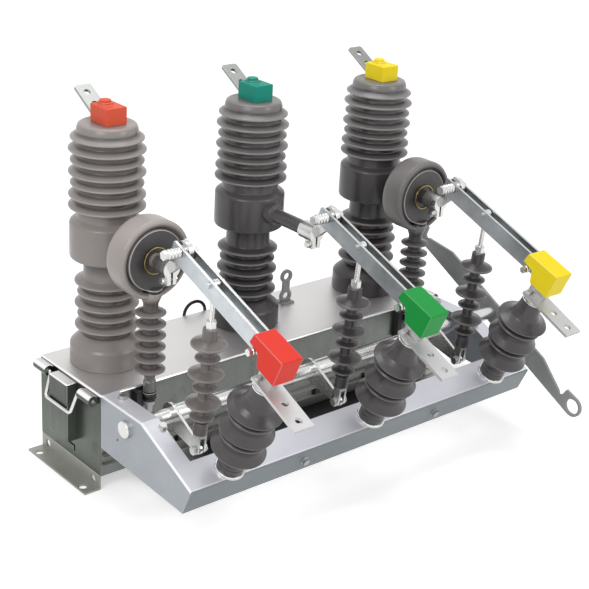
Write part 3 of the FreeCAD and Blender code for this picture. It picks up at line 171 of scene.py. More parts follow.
class BreakerColours(bpy.types.PropertyGroup):
    """Colours of the finishes."""

    # One stainless steel: the pale top colour is a painted reflection, the front and end colours are
    # painted shade.
    sheet_lit_top: colour_property("Sheet, top", "Stainless sheet facing up", 218, 215, 215)
    sheet_shaded_front: colour_property("Sheet, front", "Stainless sheet facing forward", 117, 120, 116)
    sheet_shaded_end: colour_property("Sheet, ends", "Stainless sheet facing sideways", 98, 103, 97)
    coat: colour_property("Frame coat", "Silver-grey coat of the frame", 224, 224, 233)
    # The end and front colours are the same coat in painted shade.
    coat_shaded_end: colour_property("Frame coat, ends", "Coat on the side plates", 163, 168, 174)
    coat_shaded_front: colour_property("Frame coat, front", "Coat on faces that look forward and down",
                               122, 129, 133)
    rubber_light: colour_property("Rubber, light", "First pole, pull rod and transformer",
                                  144, 137, 134)
    rubber_mid: colour_property("Rubber, middle", "High on two poles, and the other transformer",
                                116, 112, 112)
    rubber_dark: colour_property("Rubber, dark", "Posts, two pull rods, and low on two poles",
                                 74, 71, 72)
    # The rims' colour is a painted highlight on the rubber.
    rubber_rim: colour_property("Rubber, rims", "Pale rubber along the rims of the sheds",
                                178, 172, 170)
    zinc: colour_property("Zinc", "Zinc-plated steel", 222, 222, 220)
    screw: colour_property("Screws", "Plated screws of the frame", 200, 200, 198)
    foot: colour_property("Feet", "Plate of the mounting feet", 172, 172, 166)
    steel: colour_property("Steel", "Machined steel inside the box", 140, 140, 138)
    # One plating: the up colour is lit, the side colour is painted shade.
    blade: colour_property("Blade", "Tin-plated copper facing up", 206, 206, 205)
    blade_shaded_side: colour_property("Blade, sides", "Tin-plated copper facing sideways", 172, 177, 180)
    # The edge colour is a painted highlight.
    blade_rim: colour_property("Blade, edges", "Bright rounded edges of the blades", 250, 250, 250)
    bar: colour_property("Terminal bar", "Tin-plated front terminal bars", 204, 204, 204)
    top_bar: colour_property("Top bar", "Duller terminal bars on the poles", 158, 160, 158)
    lever: colour_property("Lever", "Grey paint of the lever and lifting plate", 148, 151, 150)
    black: colour_property("Black", "Terminal blocks and rear loop", 40, 40, 42)
    brass: colour_property("Yellow zinc", "Ring in the face of each current transformer",
                           158, 142, 92)
    ceramic: colour_property("Ceramic", "Glazed body of the interrupters", 236, 234, 228)
    fibre: colour_property("Glass fibre", "Insulating drive rods", 190, 160, 110)
    red: colour_property("Red", "Blade cover of the first pole", 230, 60, 47)
    green: colour_property("Green", "Blade cover of the second pole", 28, 150, 66)
    yellow: colour_property("Yellow", "Blade and top cover of the third pole", 250, 224, 40)
    orange: colour_property("Orange", "Top cover of the first pole", 224, 92, 66)
    teal: colour_property("Teal", "Top cover of the second pole", 28, 142, 124)


class BreakerStage(bpy.types.PropertyGroup):
    """Camera, lamps and floor."""

    lens: FloatProperty(name="Lens", description="Focal length on a 36 mm sensor", default=84.6,
                        min=20.0, max=300.0)
    key_power: power_property("Key lamp", "Power of the lamp on the left", 34.0)
    fill_power: power_property("Fill lamp", "Power of the lamp on the right", 20.0)
    top_power: power_property("Top lamp", "Power of the lamp above", 26.0)
    ambient: FloatProperty(name="Ambient", description="Strength of the even light",
                           default=0.5, min=0.0, max=1.0)
    floor_size: length_property("Floor", "Side of the floor", 60.0, 4.0, 200.0)


class Field:
    """One value in a tree of nodes. Arithmetic on it adds Math nodes."""

    def __init__(self, owner, socket):
        self.owner = owner
        self.socket = socket

    def maths(self, operation, *values):
        return self.owner.node("ShaderNodeMath", {"operation": operation},
                               dict(enumerate(values)))

    def __add__(self, other):
        return self.maths("ADD", self, other)

    __radd__ = __add__

    def __sub__(self, other):
        return self.maths("SUBTRACT", self, other)

    def __rsub__(self, other):
        return self.maths("SUBTRACT", other, self)

    def __mul__(self, other):
        return self.maths("MULTIPLY", self, other)

    __rmul__ = __mul__

    def __abs__(self):
        return self.maths("ABSOLUTE", self)

    def above(self, low, high):
        """0 below low, 1 above high, smooth between."""
        return self.owner.node("ShaderNodeMapRange", {"interpolation_type": "SMOOTHSTEP"},
                               {"Value": self, "From Min": low, "From Max": high})

    def between(self, low, full, fading, gone):
        """1 from full to fading, 0 below low and above gone, smooth between."""
        return self.above(low, full) * (1 - self.above(fading, gone))


class NodeTree:
    """The nodes of a material or of the world."""

    def __init__(self, tree):
        self.tree = tree
        self.tree.nodes.clear()

    def put(self, socket, value):
        """Links a field to a socket, or sets a plain value on it."""
        if isinstance(value, Field):
            self.tree.links.new(value.socket, socket)
        elif socket.type == "RGBA":
            socket.default_value = (*value[:3], 1.0)
        else:
            socket.default_value = value

    def node(self, kind, settings, values, output=0):
        """Adds a node, sets it up, feeds its sockets and gives one of its outputs."""
        made = self.tree.nodes.new(kind)
        for name, setting in settings.items():
            setattr(made, name, setting)
        for name, value in values.items():
            self.put(made.inputs[name], value)
        return Field(self, made.outputs[output])

    def end(self, kind, shader):
        """Adds the output node that shows the shader."""
        self.put(self.tree.nodes.new(kind).inputs["Surface"], shader)

    def seen(self):
        """1 for what the camera sees, also in a reflection or through glass, and else 0."""
        camera = self.node("ShaderNodeLightPath", {}, {}, "Is Camera Ray")
        glossy = self.node("ShaderNodeLightPath", {}, {}, "Is Glossy Ray")
        clear = self.node("ShaderNodeLightPath", {}, {}, "Is Transmission Ray")
        return self.node("ShaderNodeMath", {"operation": "MINIMUM"},
                         {0: camera + glossy + clear, 1: 1.0})


class Finish(NodeTree):
    """The nodes of one material."""

    def __init__(self, name):
        self.material = bpy.data.materials.new(name)
        self.material.use_nodes = True
        super().__init__(self.material.node_tree)

    def object_place(self):
        return self.node("ShaderNodeTexCoord", {}, {}, "Object")

    def facing(self, axis):
        """The object normal's part along X, Y or Z."""
        normal = self.node("ShaderNodeTexCoord", {}, {}, "Normal")
        return self.node("ShaderNodeSeparateXYZ", {}, {0: normal}, axis)

    def place(self, axis):
        """The place along X, Y or Z, in metres."""
        return self.node("ShaderNodeSeparateXYZ", {}, {0: self.object_place()}, axis)

    def mapped(self, **values):
        """The place after a Mapping node has moved or stretched it."""
        return self.node("ShaderNodeMapping", {}, {"Vector": self.object_place(), **values})

    def length(self, vector):
        """How long a vector is, in metres."""
        return self.node("ShaderNodeVectorMath", {"operation": "LENGTH"}, {0: vector}, 1)

    def noise(self, scale, detail, roughness, stretch=(1, 1, 1)):
        """Soft noise from 0 to 1, finer with a higher scale, stretched along the axes."""
        return self.node("ShaderNodeTexNoise", {},
                         {"Vector": self.mapped(Scale=stretch), "Scale": scale,
                          "Detail": detail, "Roughness": roughness})

    def mix(self, share, first, second):
        """A colour between two others."""
        return self.node("ShaderNodeMix", {"data_type": "RGBA"},
                         {0: share, 6: first, 7: second}, 2)

    def lighten(self, colour, amount):
        """A colour times a value."""
        return self.node("ShaderNodeVectorMath", {"operation": "SCALE"},
                         {"Vector": colour, "Scale": amount})

    def surface(self, values, height, depth):
        """The finished material: its shader's values, and a bump of a height and depth."""
        bump = self.node("ShaderNodeBump", {},
                         {"Strength": 1.0, "Distance": depth, "Height": height})
        self.end("ShaderNodeOutputMaterial",
                 self.node("ShaderNodeBsdfPrincipled", {}, {**values, "Normal": bump}))
        return self.material


def stainless_finish(name, tones):
    """Rolled sheet, mottled on the ends, with painted light: a pale painted reflection on top,
    painted shade on the grey front and the dark ends, and a painted highlight along the bends.
    """
    finish = Finish(name)
    smudges = finish.noise(6, 4, 0.6)
    streaks = finish.noise(42, 3, 0.6, (1, 1, 0.12))
    spots = finish.noise(30, 5, 0.65).above(0.52, 0.72)
    # Painted light: the pale top is a painted reflection, the front and the ends are painted shade.
    upward = finish.facing("Z")
    level = upward.above(0.25, 0.95)
    # Painted highlight along the rounded bends between the top and the sides.
    bend_highlight = upward.between(0.25, 0.55, 0.85, 0.97)
    endward = abs(finish.facing("X")).above(0.5, 0.9)
    # Painted shade: the ends are darker high up.
    upper_end_shade = finish.place("Z").above(0.06, 0.17)
    end = finish.lighten(tones.sheet_shaded_end, 1 - upper_end_shade * 0.34)
    side = finish.mix(endward, tones.sheet_shaded_front, end)
    side = finish.lighten(side, 0.54 + smudges * 0.56 + streaks * 0.36 - spots * 0.22)
    top = finish.lighten(tones.sheet_lit_top, 0.94 + smudges * 0.10)
    colour = finish.mix(bend_highlight, finish.mix(level, side, top), (0.95, 0.95, 0.95))
    rough = 0.20 + smudges * 0.10 + streaks * 0.06 + level * 0.16
    return finish.surface({"Base Color": colour, "Metallic": 1.0, "Roughness": rough},
                          streaks, 0.00004)


def coat_finish(name, tones):
    """Silver-grey powder coat with the fine grain of its metal flakes, in painted shade on the side
    plates and on faces that look forward and down, with painted highlights along its creases, its
    folds and on level tops.
    """
    finish = Finish(name)
    grain = finish.noise(900, 2, 0.6)
    cloud = finish.noise(9, 3, 0.5)
    rubbed = finish.noise(5, 4, 0.6, (1, 3, 3)).above(0.45, 0.75)
    forward = 0 - finish.facing("Y")
    sideways = abs(finish.facing("X"))
    # Painted shade on the side plates and on faces that look forward and down.
    tint = finish.mix(sideways.above(0.5, 0.9), tones.coat, tones.coat_shaded_end)
    tint = finish.mix(forward.above(0.55, 0.85), tint, tones.coat_shaded_front)
    # Painted highlights along the creases and folds, and on level tops.
    crease_highlight = forward.between(0.42, 0.52, 0.72, 0.86)
    fold_highlight = sideways.between(0.12, 0.30, 0.84, 0.96)
    level = finish.facing("Z").above(0.96, 0.995)
    tint = finish.mix(crease_highlight + fold_highlight + level * 0.6, tint, (0.90, 0.90, 0.94))
    colour = finish.lighten(tint, 0.90 + cloud * 0.12 + grain * 0.06 + rubbed * 0.07)
    return finish.surface({"Base Color": colour, "Metallic": 0.35,
                           "Roughness": 0.34 + grain * 0.12}, grain, 0.00005)


def shaded_and_highlighted_tone(finish, tone, rim_share):
    """Rubber with painted shade in the roots of its sheds and a painted highlight along their rims.
    """
    shade_and_highlight = finish.node("ShaderNodeAttribute", {"attribute_name": "shade_and_highlight"}, {}, "Fac")
    cloud = finish.noise(*RUBBER_CLOUD)
    speck = finish.noise(*RUBBER_SPECK)
    # Lighter on faces that look up.
    facing_up = finish.facing("Z").above(0.2, 0.95)
    # Painted shade: darker towards the roots of the sheds.
    depth = 0.43 + shade_and_highlight.above(0.0, 0.7) * 0.57
    shaded = finish.lighten(tone, depth * (0.84 + cloud * 0.22 + facing_up * 0.14 + speck * 0.06))
    # Painted highlight along the rims.
    return finish.mix(shade_and_highlight.above(0.92, 1.0) * rim_share, shaded, colours().rubber_rim)


def rubber_finish(name, upper, lower, low=0.0, high=1.0, rim_share=0.26):
    """Silicone rubber that goes from one tone below low metres to another above high."""
    finish = Finish(name)
    height = finish.place("Z").above(low, high)
    speck = finish.noise(*RUBBER_SPECK)
    cloud = finish.noise(*RUBBER_CLOUD)
    colour = shaded_and_highlighted_tone(finish, finish.mix(height, lower, upper), rim_share)
    return finish.surface({"Base Color": colour, "Roughness": 0.24 + cloud * 0.14,
                           "Specular IOR Level": 0.5}, speck, 0.00004)


def ring_finish(name, tone, centre):
    """Rubber of a current transformer, darker on the disc that is cast into its face, with painted
    shade, near black, in the groove round the disc.
    """
    finish = Finish(name)
    radius = finish.length(finish.mapped(Location=(-centre * MM, 0, -ARM_HEIGHT * MM),
                                         Scale=(1, 0, 1)))
    ahead = (0 - finish.place("Y")).above(*FACE_START)
    disc = (1 - radius.above(*DISC_EDGE)) * ahead
    line = radius.between(*DISC_LINE) * ahead
    groove = radius.between(*DISC_GROOVE_SHADE) * ahead
    cloud = finish.noise(*RUBBER_CLOUD)
    speck = finish.noise(*RUBBER_SPECK)
    above_stalk = finish.place("Z").above(*STALK_END)
    base = finish.mix(above_stalk, scaled(tone, 0.58), tone)
    base = finish.mix(disc, base, colours().rubber_dark)
    base = shaded_and_highlighted_tone(finish, base, 0.2)
    # Painted shade: the groove round the disc is painted near black.
    base = finish.mix(groove, base, (0.01, 0.01, 0.01))
    colour = finish.mix(line * 0.45, base, colours().zinc)
    return finish.surface({"Base Color": colour, "Roughness": 0.26 + cloud * 0.12,
                           "Specular IOR Level": 0.4}, speck, 0.00004)


def zinc_finish(name, tone, roughness=0.20, metallic=1.0, contrast=0.22):
    """Plated steel with the faint cloud of its plating, and painted shade on faces that look down."""
    finish = Finish(name)
    cloud = finish.noise(34, 3, 0.5)
    scratch = finish.noise(160, 2, 0.7, (1, 1, 6))
    underside_shade = (0 - finish.facing("Z")).above(-0.2, 0.9)
    # Painted shade on faces that look down.
    colour = finish.lighten(tone, 1.04 - contrast + cloud * contrast - underside_shade * 0.34)
    return finish.surface({"Base Color": colour, "Metallic": metallic,
                           "Roughness": roughness + cloud * 0.08 + scratch * 0.06},
                          scratch, 0.00003)


def blade_finish(name, tones):
    """Plated copper strip: drawn lines along its length and a soft spangle, pale where it faces up
    and in painted shade on its sides.
    """
    finish = Finish(name)
    drawn = finish.noise(140, 3, 0.6, (1, 0.08, 0.8))
    spangle = finish.noise(55, 2, 0.4)
    sweep = finish.noise(7, 1, 0.4).above(0.34, 0.66)
    # Painted light: faces that look up are paler, the sides are painted shade.
    upward = finish.facing("Z").above(0.5, 0.95)
    side = finish.lighten(tones.blade_shaded_side,
                          0.50 + sweep * 0.50 + spangle * 0.34 + drawn * 0.2)
    colour = finish.mix(upward, side, tones.blade)
    return finish.surface({"Base Color": colour, "Metallic": 1.0,
                           "Roughness": 0.24 + drawn * 0.10 + spangle * 0.08},
                          drawn, 0.00003)


def plastic_finish(name, tone):
    """Moulded plastic with a fine leather grain."""
    finish = Finish(name)
    grain = finish.noise(700, 2, 0.5)
    cloud = finish.noise(18, 3, 0.5)
    colour = finish.lighten(tone, 0.93 + cloud * 0.12)
    return finish.surface({"Base Color": colour, "Roughness": 0.42 + grain * 0.12,
                           "Specular IOR Level": 0.22}, grain, 0.00005)


def paint_finish(name, tone, roughness=0.42):
    """Painted, glazed or varnished surface with a light orange peel."""
    finish = Finish(name)
    peel = finish.noise(320, 3, 0.55)
    cloud = finish.noise(30, 3, 0.5)
    colour = finish.lighten(tone, 0.86 + cloud * 0.26)
    return finish.surface({"Base Color": colour, "Roughness": roughness + peel * 0.10},
                          peel, 0.00005)


def gland_finish(name):
    """Cable gland: a bright nut, a black sleeve with two pale rings and a grey ferrule."""
    finish = Finish(name)
    height = finish.place("Z")
    cloud = finish.noise(60, 3, 0.5)
    ribs = finish.noise(240, 2, 0.5, (0.2, 0.2, 4))
    sleeve = height.between(*GLAND_SLEEVE)
    rings = height.between(*GLAND_LOW_RING) + height.between(*GLAND_HIGH_RING)
    ferrule = height.above(*GLAND_SLEEVE[2:])
    base = finish.mix(ferrule, shade(186, 186, 184), shade(134, 132, 130))
    base = finish.mix(sleeve, base, shade(26, 26, 28))
    base = finish.mix(rings, base, shade(196, 196, 196))
    colour = finish.lighten(base, 0.84 + cloud * 0.22 + ribs * 0.08)
    return finish.surface({"Base Color": colour, "Metallic": (1 - sleeve) * 0.5,
                           "Roughness": 0.3 + cloud * 0.15}, ribs, 0.00006)


def deselect():
    """Leaves edit mode, with nothing selected."""
    if bpy.context.object and bpy.context.object.mode != "OBJECT":
        bpy.ops.object.mode_set(mode="OBJECT")
    bpy.ops.object.select_all(action="DESELECT")


def choose(*pieces):
    """Only these pieces are selected, and the first is active."""
    deselect()
    for piece in pieces:
        piece.select_set(True)
    bpy.context.view_layer.objects.active = pieces[0]


def rounded_path(corners, segments=4):
    """The points of a profile whose corners (radius, height, rounding) are made into arcs."""
    points = []
    for number, (across, up, rounding) in enumerate(corners):
        if rounding <= 0 or number in (0, len(corners) - 1):
            points.append((across, up))
            continue
        here = Vector((across, up))
        before = Vector(corners[number - 1][:2]) - here
        after = Vector(corners[number + 1][:2]) - here
        turn = math.pi - before.angle(after)
        if turn < LEAST_TURN:
            points.append((across, up))
            continue
        reach = rounding * math.tan(turn / 2)
        reach = min(reach, before.length * LARGEST_REACH, after.length * LARGEST_REACH)
        radius = reach / math.tan(turn / 2)
        middle = (before.normalized() + after.normalized()).normalized()
        centre = here + middle * (radius / math.cos(turn / 2))
        start = here + before.normalized() * reach - centre
        end = here + after.normalized() * reach - centre
        count = max(2, round(segments * turn / (math.pi / 2)) + 1)
        for step in range(count + 1):
            ray = start.slerp(end, step / count).normalized() * radius
            points.append(tuple(centre + ray))
    return points


def shade_and_highlight_marks(corners):
    """How a profile is painted at each corner: 1 for a painted highlight on a thin rim, 0 for painted
    shade in a narrow root.
    """
    marks = []
    for number, (across, up, _) in enumerate(corners):
        beside = [corners[place] for place in (number - 1, number + 1)
                  if 0 <= place < len(corners)]
        wide = max(other[0] for other in beside)
        slim = min(other[0] for other in beside)
        run = max((abs(up - other[1]) for other in beside if other[0] == across), default=0)
        if len(beside) < 2 or slim == wide == across:
            marks.append(PLAIN_SHADING)
        elif across >= wide:
            marks.append(RIM_SHADING if run < RIM_RUN else WIDE_SHADING)
        elif across <= slim:
            marks.append(ROOT_SHADING if run < ROOT_RUN else SLIM_SHADING)
        else:
            marks.append(PLAIN_SHADING)
    return marks


def mark_shade_and_highlight(piece, corners):
    """Keeps the painted shade and highlight of the nearest profile corner on each vertex, for the
    rubber finish.
    """
    marks = shade_and_highlight_marks(corners)
    layer = piece.data.attributes.new("shade_and_highlight", "FLOAT", "POINT")
    for vertex, value in zip(piece.data.vertices, layer.data):
        radius = math.hypot(vertex.co.x, vertex.co.y) / MM
        height = vertex.co.z / MM
        gaps = [math.hypot(corner[0] - radius, corner[1] - height) for corner in corners]
        value.value = marks[gaps.index(min(gaps))]


def turned(name, corners, steps, segments=4):
    """A piece spun round the Z axis from a profile of (radius, height, rounding) in mm."""
    points = [(across * MM, 0.0, up * MM) for across, up in rounded_path(corners, segments)]
    deselect()
    bpy.ops.mesh.primitive_plane_add(size=MM)
    piece = bpy.context.object
    piece.name = name
    piece.data.name = name
    bpy.ops.object.mode_set(mode="EDIT")
    bpy.ops.mesh.select_all(action="SELECT")
    bpy.ops.mesh.merge(type="CENTER")
    bpy.ops.transform.translate(value=points[0])
    for start, end in zip(points, points[1:]):
        stride = Vector(end) - Vector(start)
        bpy.ops.mesh.extrude_vertices_move(TRANSFORM_OT_translate={"value": stride})
    bpy.ops.mesh.select_all(action="SELECT")
    bpy.ops.mesh.spin(steps=steps, angle=math.tau, center=(0, 0, 0), axis=(0, 0, 1))
    bpy.ops.mesh.select_all(action="SELECT")
    bpy.ops.mesh.remove_doubles(threshold=LATHE_MERGE)
    bpy.ops.mesh.normals_make_consistent(inside=False)
    bpy.ops.object.mode_set(mode="OBJECT")
    mark_shade_and_highlight(piece, corners)
    return piece


def move(piece, x=0.0, y=0.0, z=0.0, tilt=0.0):
    """Tilts a piece about X at the origin, then moves it by millimetres, in its own mesh."""
    choose(piece)
    piece.matrix_world = (Matrix.Translation(Vector((x, y, z)) * MM)
                          @ Matrix.Rotation(tilt, 4, "X"))
    bpy.ops.object.transform_apply(location=True, rotation=True, scale=True)


def joined(name, *pieces):
    """One piece made of several."""
    choose(*pieces)
    bpy.ops.object.join()
    piece = bpy.context.object
    piece.name = name
    piece.data.name = name
    return piece


def smooth(piece, angle):
    """Shades a piece smooth, but for the edges that are sharper than an angle."""
    choose(piece)
    bpy.ops.object.shade_smooth_by_angle(angle=angle)


def copy_of(piece, name):
    """A copy with its own mesh and without the marks of the CAD node that it came from."""
    choose(piece)
    bpy.ops.object.duplicate(linked=False)
    made = bpy.context.object
    made.name = name
    made.data.name = name
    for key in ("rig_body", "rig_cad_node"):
        if key in made:
            del made[key]
    return made


def phase_copies(first, name, others="bc"):
    """The piece of phase a and its copies at the other phases, by phase."""
    pieces = {"a": first}
    for phase in others:
        pieces[phase] = copy_of(first, f"{name}_{phase}")
        move(pieces[phase], PHASES[phase] - PHASES["a"])
    return pieces


def coat_with(piece, material):
    """Gives a piece one finish all over."""
    piece.data.materials.clear()
    piece.data.materials.append(material)


def settle(piece, body, slot, material, *nodes):
    """Gives a piece its finish, its body and the CAD nodes that it stands for."""
    coat_with(piece, material)
    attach(piece, body)
    if nodes:
        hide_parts(*nodes)


def rounded_node(node, body, material, width, segments=2, rim=None):
    """Stands for a CAD node: its copy, merged, with rounded edges in the rim's finish if any."""
    piece = copy_of(frame["nodes"][node], f"{node}_dressed")
    world = piece.matrix_world.copy()
    piece.parent = None
    piece.matrix_world = world
    choose(piece)
    bpy.ops.mesh.customdata_custom_splitnormals_clear()
    bpy.ops.object.mode_set(mode="EDIT")
    bpy.ops.mesh.select_all(action="SELECT")
    bpy.ops.mesh.remove_doubles(threshold=NODE_MERGE)
    bpy.ops.mesh.dissolve_limited(angle_limit=FLAT_ANGLE)
    bpy.ops.object.mode_set(mode="OBJECT")
    coat_with(piece, material)
    if width > 0:
        edge = piece.modifiers.new("Rounded edges", "BEVEL")
        edge.width = width
        edge.segments = segments
        edge.limit_method = "ANGLE"
        edge.angle_limit = PLATE_ANGLE
        edge.use_clamp_overlap = True
        edge.miter_outer = "MITER_SHARP"
        if rim:
            piece.data.materials.append(rim)
            edge.material = 1
        bpy.ops.object.modifier_apply(modifier=edge.name)
    smooth(piece, PLATE_ANGLE)
    even = piece.modifiers.new("Even faces", "WEIGHTED_NORMAL")
    even.keep_sharp = True
    bpy.ops.object.modifier_apply(modifier=even.name)
    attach(piece, body)
    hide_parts(node)


def shed(core, tip, level, rise, fall):
    """Profile corners of one weather shed, from its underside up to its top, in mm."""
    rim, root = sizes().rim / MM, sizes().root / MM
    half_rim = 1.5
    return [(core, level - fall, root), (tip, level - half_rim, rim),
            (tip, level + half_rim, rim), (core, level + rise, root)]


def colours():
    return bpy.context.scene.breaker_colours


def sizes():
    return bpy.context.scene.breaker_sizes


FINISHES = {}


def finish_named(name, kind, *tones, **settings):
    """A finish made once and used wherever its name comes up again."""
    if name not in FINISHES:
        FINISHES[name] = kind(name, *tones, **settings)
    return FINISHES[name]


def pole_rubber(phase):
    """The rubber of one pole: the first is pale, the others darken towards their foot. The darkening
    low on each pole, slight on the first, is painted shade.
    """
    tones = colours()
    if phase == "a":
        upper = tones.rubber_light
        return finish_named("rubber_a", rubber_finish, upper, scaled(upper, 0.92),
                            low=0.2, high=0.6, rim_share=0.4)
    # Painted shade: the lower parts of the other two poles are darker.
    lower = scaled(tones.rubber_dark, 0.82 if phase == "b" else 0.55)
    return finish_named(f"rubber_{phase}", rubber_finish, tones.rubber_mid, lower,
                        low=0.42, high=0.66, rim_share=0.36)


def rod_rubber(phase):
    """The rubber of one pull rod: the first is paler than the other two."""
    tones = colours()
    if phase == "a":
        tone = scaled(tones.rubber_light, 0.58)
        return finish_named("rod_rubber_a", rubber_finish, tone, tone)
    tone = scaled(tones.rubber_dark, 0.72)
    return finish_named("rod_rubber_b", rubber_finish, tone, tone)


def zinc_plate():
    """The bright plating of bolts, shafts and handles."""
    return finish_named("zinc_plate", zinc_finish, colours().zinc)


def lever_paint():
    """The grey paint of the lever and of the lifting plate."""
    return finish_named("lever_paint", paint_finish, colours().lever)


class BREAKER_OT_poles(bpy.types.Operator):
    """Turn the three silicone-clad poles with rounded sheds and put the side arm on each"""

    bl_idname = "breaker.poles"
    bl_label = "Poles"

    def column_profile(self):
        """Foot, lower sheds, barrel, upper sheds, head and the bore back down, in mm."""
        core, neck, foot, barrel = 57, 45, 71, 70.5
        spigot, bore, wide_bore, bolt_hole = 39, 35, 42, 8.5
        seat, bore_step, bore_top = BOX_TOP - 6.5, 400, POLE_TOP - 12
        lower_pitch, upper_pitch = 22.5, 21.8
        corners = [(spigot, seat, 0), (spigot, BOX_TOP, 0), (foot - 1, BOX_TOP, 0),
                   (foot, BOX_TOP + 1, 0.6), (foot, BOX_TOP + 38, 4),
                   (foot - 4, BOX_TOP + 43, 3), (neck + 6, BOX_TOP + 57, 3),
                   (neck, BOX_TOP + 61, 3)]
        for number, tip in enumerate((16.5, 11.5, 16.5, 11.5, 16.5)):
            corners += shed(neck, neck + tip, BOX_TOP + 76 + lower_pitch * number, 9, 4)
        low, high = ARM_HEIGHT - 41, ARM_HEIGHT + 28
        corners += [(neck - 1, low - 9, 1.5), (barrel, low, 5), (barrel, high, 6),
                    (core, high + 8, 2)]
        lowest = POLE_TOP - 27 - upper_pitch * 6
        for number, tip in enumerate((15.5, 15, 11.5, 15, 11.5, 15, 11.5)):
            corners += shed(core, core + tip, lowest + upper_pitch * number, 9, 3)
        corners += [(core, POLE_TOP - 11, 6), (core - 3, POLE_TOP - 2, 6),
                    (core - 10, POLE_TOP, 4), (bolt_hole, POLE_TOP, 0),
                    (bolt_hole, bore_top, 0), (wide_bore, bore_top, 0),
                    (wide_bore, bore_step + 4, 0), (bore, bore_step, 0), (bore, seat, 0),
                    (spigot, seat, 0)]
        return corners

    def arm_profile(self):
        """The side arm from its tip back into the barrel, in mm from the pole's middle."""
        radius, collar, root = 14, 20, 23
        tip, inner_end = 182, 55.5
        return [(0, tip, 0), (radius - 1.5, tip, 0), (radius, tip - 1.5, 1.5),
                (radius, 88.5, 1), (collar, 84.5, 4), (root, inner_end, 1), (0, inner_end, 0)]

    def execute(self, context):
        column = turned("rubber_pole_a", self.column_profile(), sizes().spin_steps, segments=3)
        arm = turned("arm", self.arm_profile(), steps=40)
        move(arm, 0, 0, ARM_HEIGHT, math.pi / 2)
        first = joined("rubber_pole_a", column, arm)
        move(first, PHASES["a"], POLE_Y)
        smooth(first, TURNED_ANGLE)
        for phase, pole in phase_copies(first, "rubber_pole").items():
            settle(pole, "base", "silicone", pole_rubber(phase), f"pole_{phase}")
        return {"FINISHED"}


class BREAKER_OT_transformers(bpy.types.Operator):
    """Turn the two current transformers: a ring with a set-in disc on a shedded stalk"""

    bl_idname = "breaker.transformers"
    bl_label = "Current transformers"

    def ring_profile(self):
        """Back, round rim, face with its groove and disc, and the hole, in mm from the pole."""
        outer, rim, disc, eyelet, hole = 76, 64, 58, 23.8, 14.3
        back, face, groove = 83, 140, 128
        return [(hole, back, 0), (rim, back, 3), (outer - 2, back + 6, 8),
                (outer, back + 16, 6), (outer, face - 5, 5), (outer - 5, face, 3),
                (rim, face, 2), (rim, groove, 0), (disc, groove, 0), (disc, face - 1, 1.2),
                (eyelet, 136.8, 0), (eyelet, 136, 0), (hole, 136, 0), (hole, back, 0)]

    def stalk_profile(self):
        """A rod with six sheds that widens below the ring, in mm."""
        core, tip, pitch = 14, 29, 23
        foot, lowest, under = 226, 239, ARM_HEIGHT - 76
        corners = [(0, foot, 0), (core - 2, foot, 1), (core, foot + 4, 1)]
        for number in range(6):
            corners += shed(core, tip, lowest + pitch * number, 6, 4)
        corners += [(core, under - 12, 4), (22, under + 8, 4), (22, under + 22, 0),
                    (0, under + 22, 0)]
        return corners

    def eyelet_profile(self):
        """The bright ring in the face, in mm from the pole."""
        inner, outer, foot, front = 23.8, 26.3, 136, 140
        return [(inner, foot, 0), (inner, front, 0.8), (outer, front, 0.8),
                (outer, foot + 0.4, 0), (inner, foot, 0)]

    def execute(self, context):
        tones = colours()
        ring = turned("ring", self.ring_profile(), steps=96)
        move(ring, 0, 0, ARM_HEIGHT, math.pi / 2)
        stalk = turned("stalk", self.stalk_profile(), steps=48, segments=3)
        move(stalk, 0, STALK_Y)
        first = joined("ring_transformer_a", ring, stalk)
        move(first, PHASES["a"])
        smooth(first, TURNED_ANGLE)
        # Painted light: the first transformer's rubber is 1.3 times paler than its pole's, for its
        # lit side.
        skin_tones = {"a": scaled(tones.rubber_light, 1.3), "c": tones.rubber_mid}
        for phase, piece in phase_copies(first, "ring_transformer", "c").items():
            skin = finish_named(f"ring_rubber_{phase}", ring_finish, skin_tones[phase],
                                PHASES[phase])
            settle(piece, "base", "silicone", skin, f"current_transformer_{phase}")
        eyelet = turned("brass_ring_a", self.eyelet_profile(), steps=72, segments=3)
        move(eyelet, 0, 0, ARM_HEIGHT, math.pi / 2)
        move(eyelet, PHASES["a"])
        smooth(eyelet, TURNED_ANGLE)
        brass = finish_named("yellow_zinc", zinc_finish, tones.brass)
        for piece in phase_copies(eyelet, "brass_ring", "c").values():
            settle(piece, "base", "zinc", brass)
        return {"FINISHED"}


class BREAKER_OT_pull_rods(bpy.types.Operator):
    """Turn the shedded rubber of the three insulated pull rods"""

    bl_idname = "breaker.pull_rods"
    bl_label = "Pull rods"

    def profile(self):
        """Three large sheds with a small one below each, between two collars, in mm."""
        core, collar, small_tip, large_tip = 11, 13.5, 23, 33
        foot, top = 34, 250
        corners = [(0, foot, 0), (collar, foot, 1), (collar, 60, 1.5), (core, 60, 1)]
        for level in (98.5, 158.5, 218.5):
            corners += shed(core, small_tip, level - 28, 6, 3)
            corners += shed(core, large_tip, level, 9, 3)
        return corners[:-1] + [(collar, 227, 1), (collar, top, 1.5), (0, top, 0)]

    def execute(self, context):
        first = turned("rubber_rod_a", self.profile(), steps=48, segments=3)
        move(first, PHASES["a"], *CRANK_PIN, LINK_LEAN)
        smooth(first, TURNED_ANGLE)
        for phase, rod in phase_copies(first, "rubber_rod").items():
            settle(rod, f"rod_{phase}", "silicone_dark", rod_rubber(phase), f"pull_rod_{phase}")
        return {"FINISHED"}


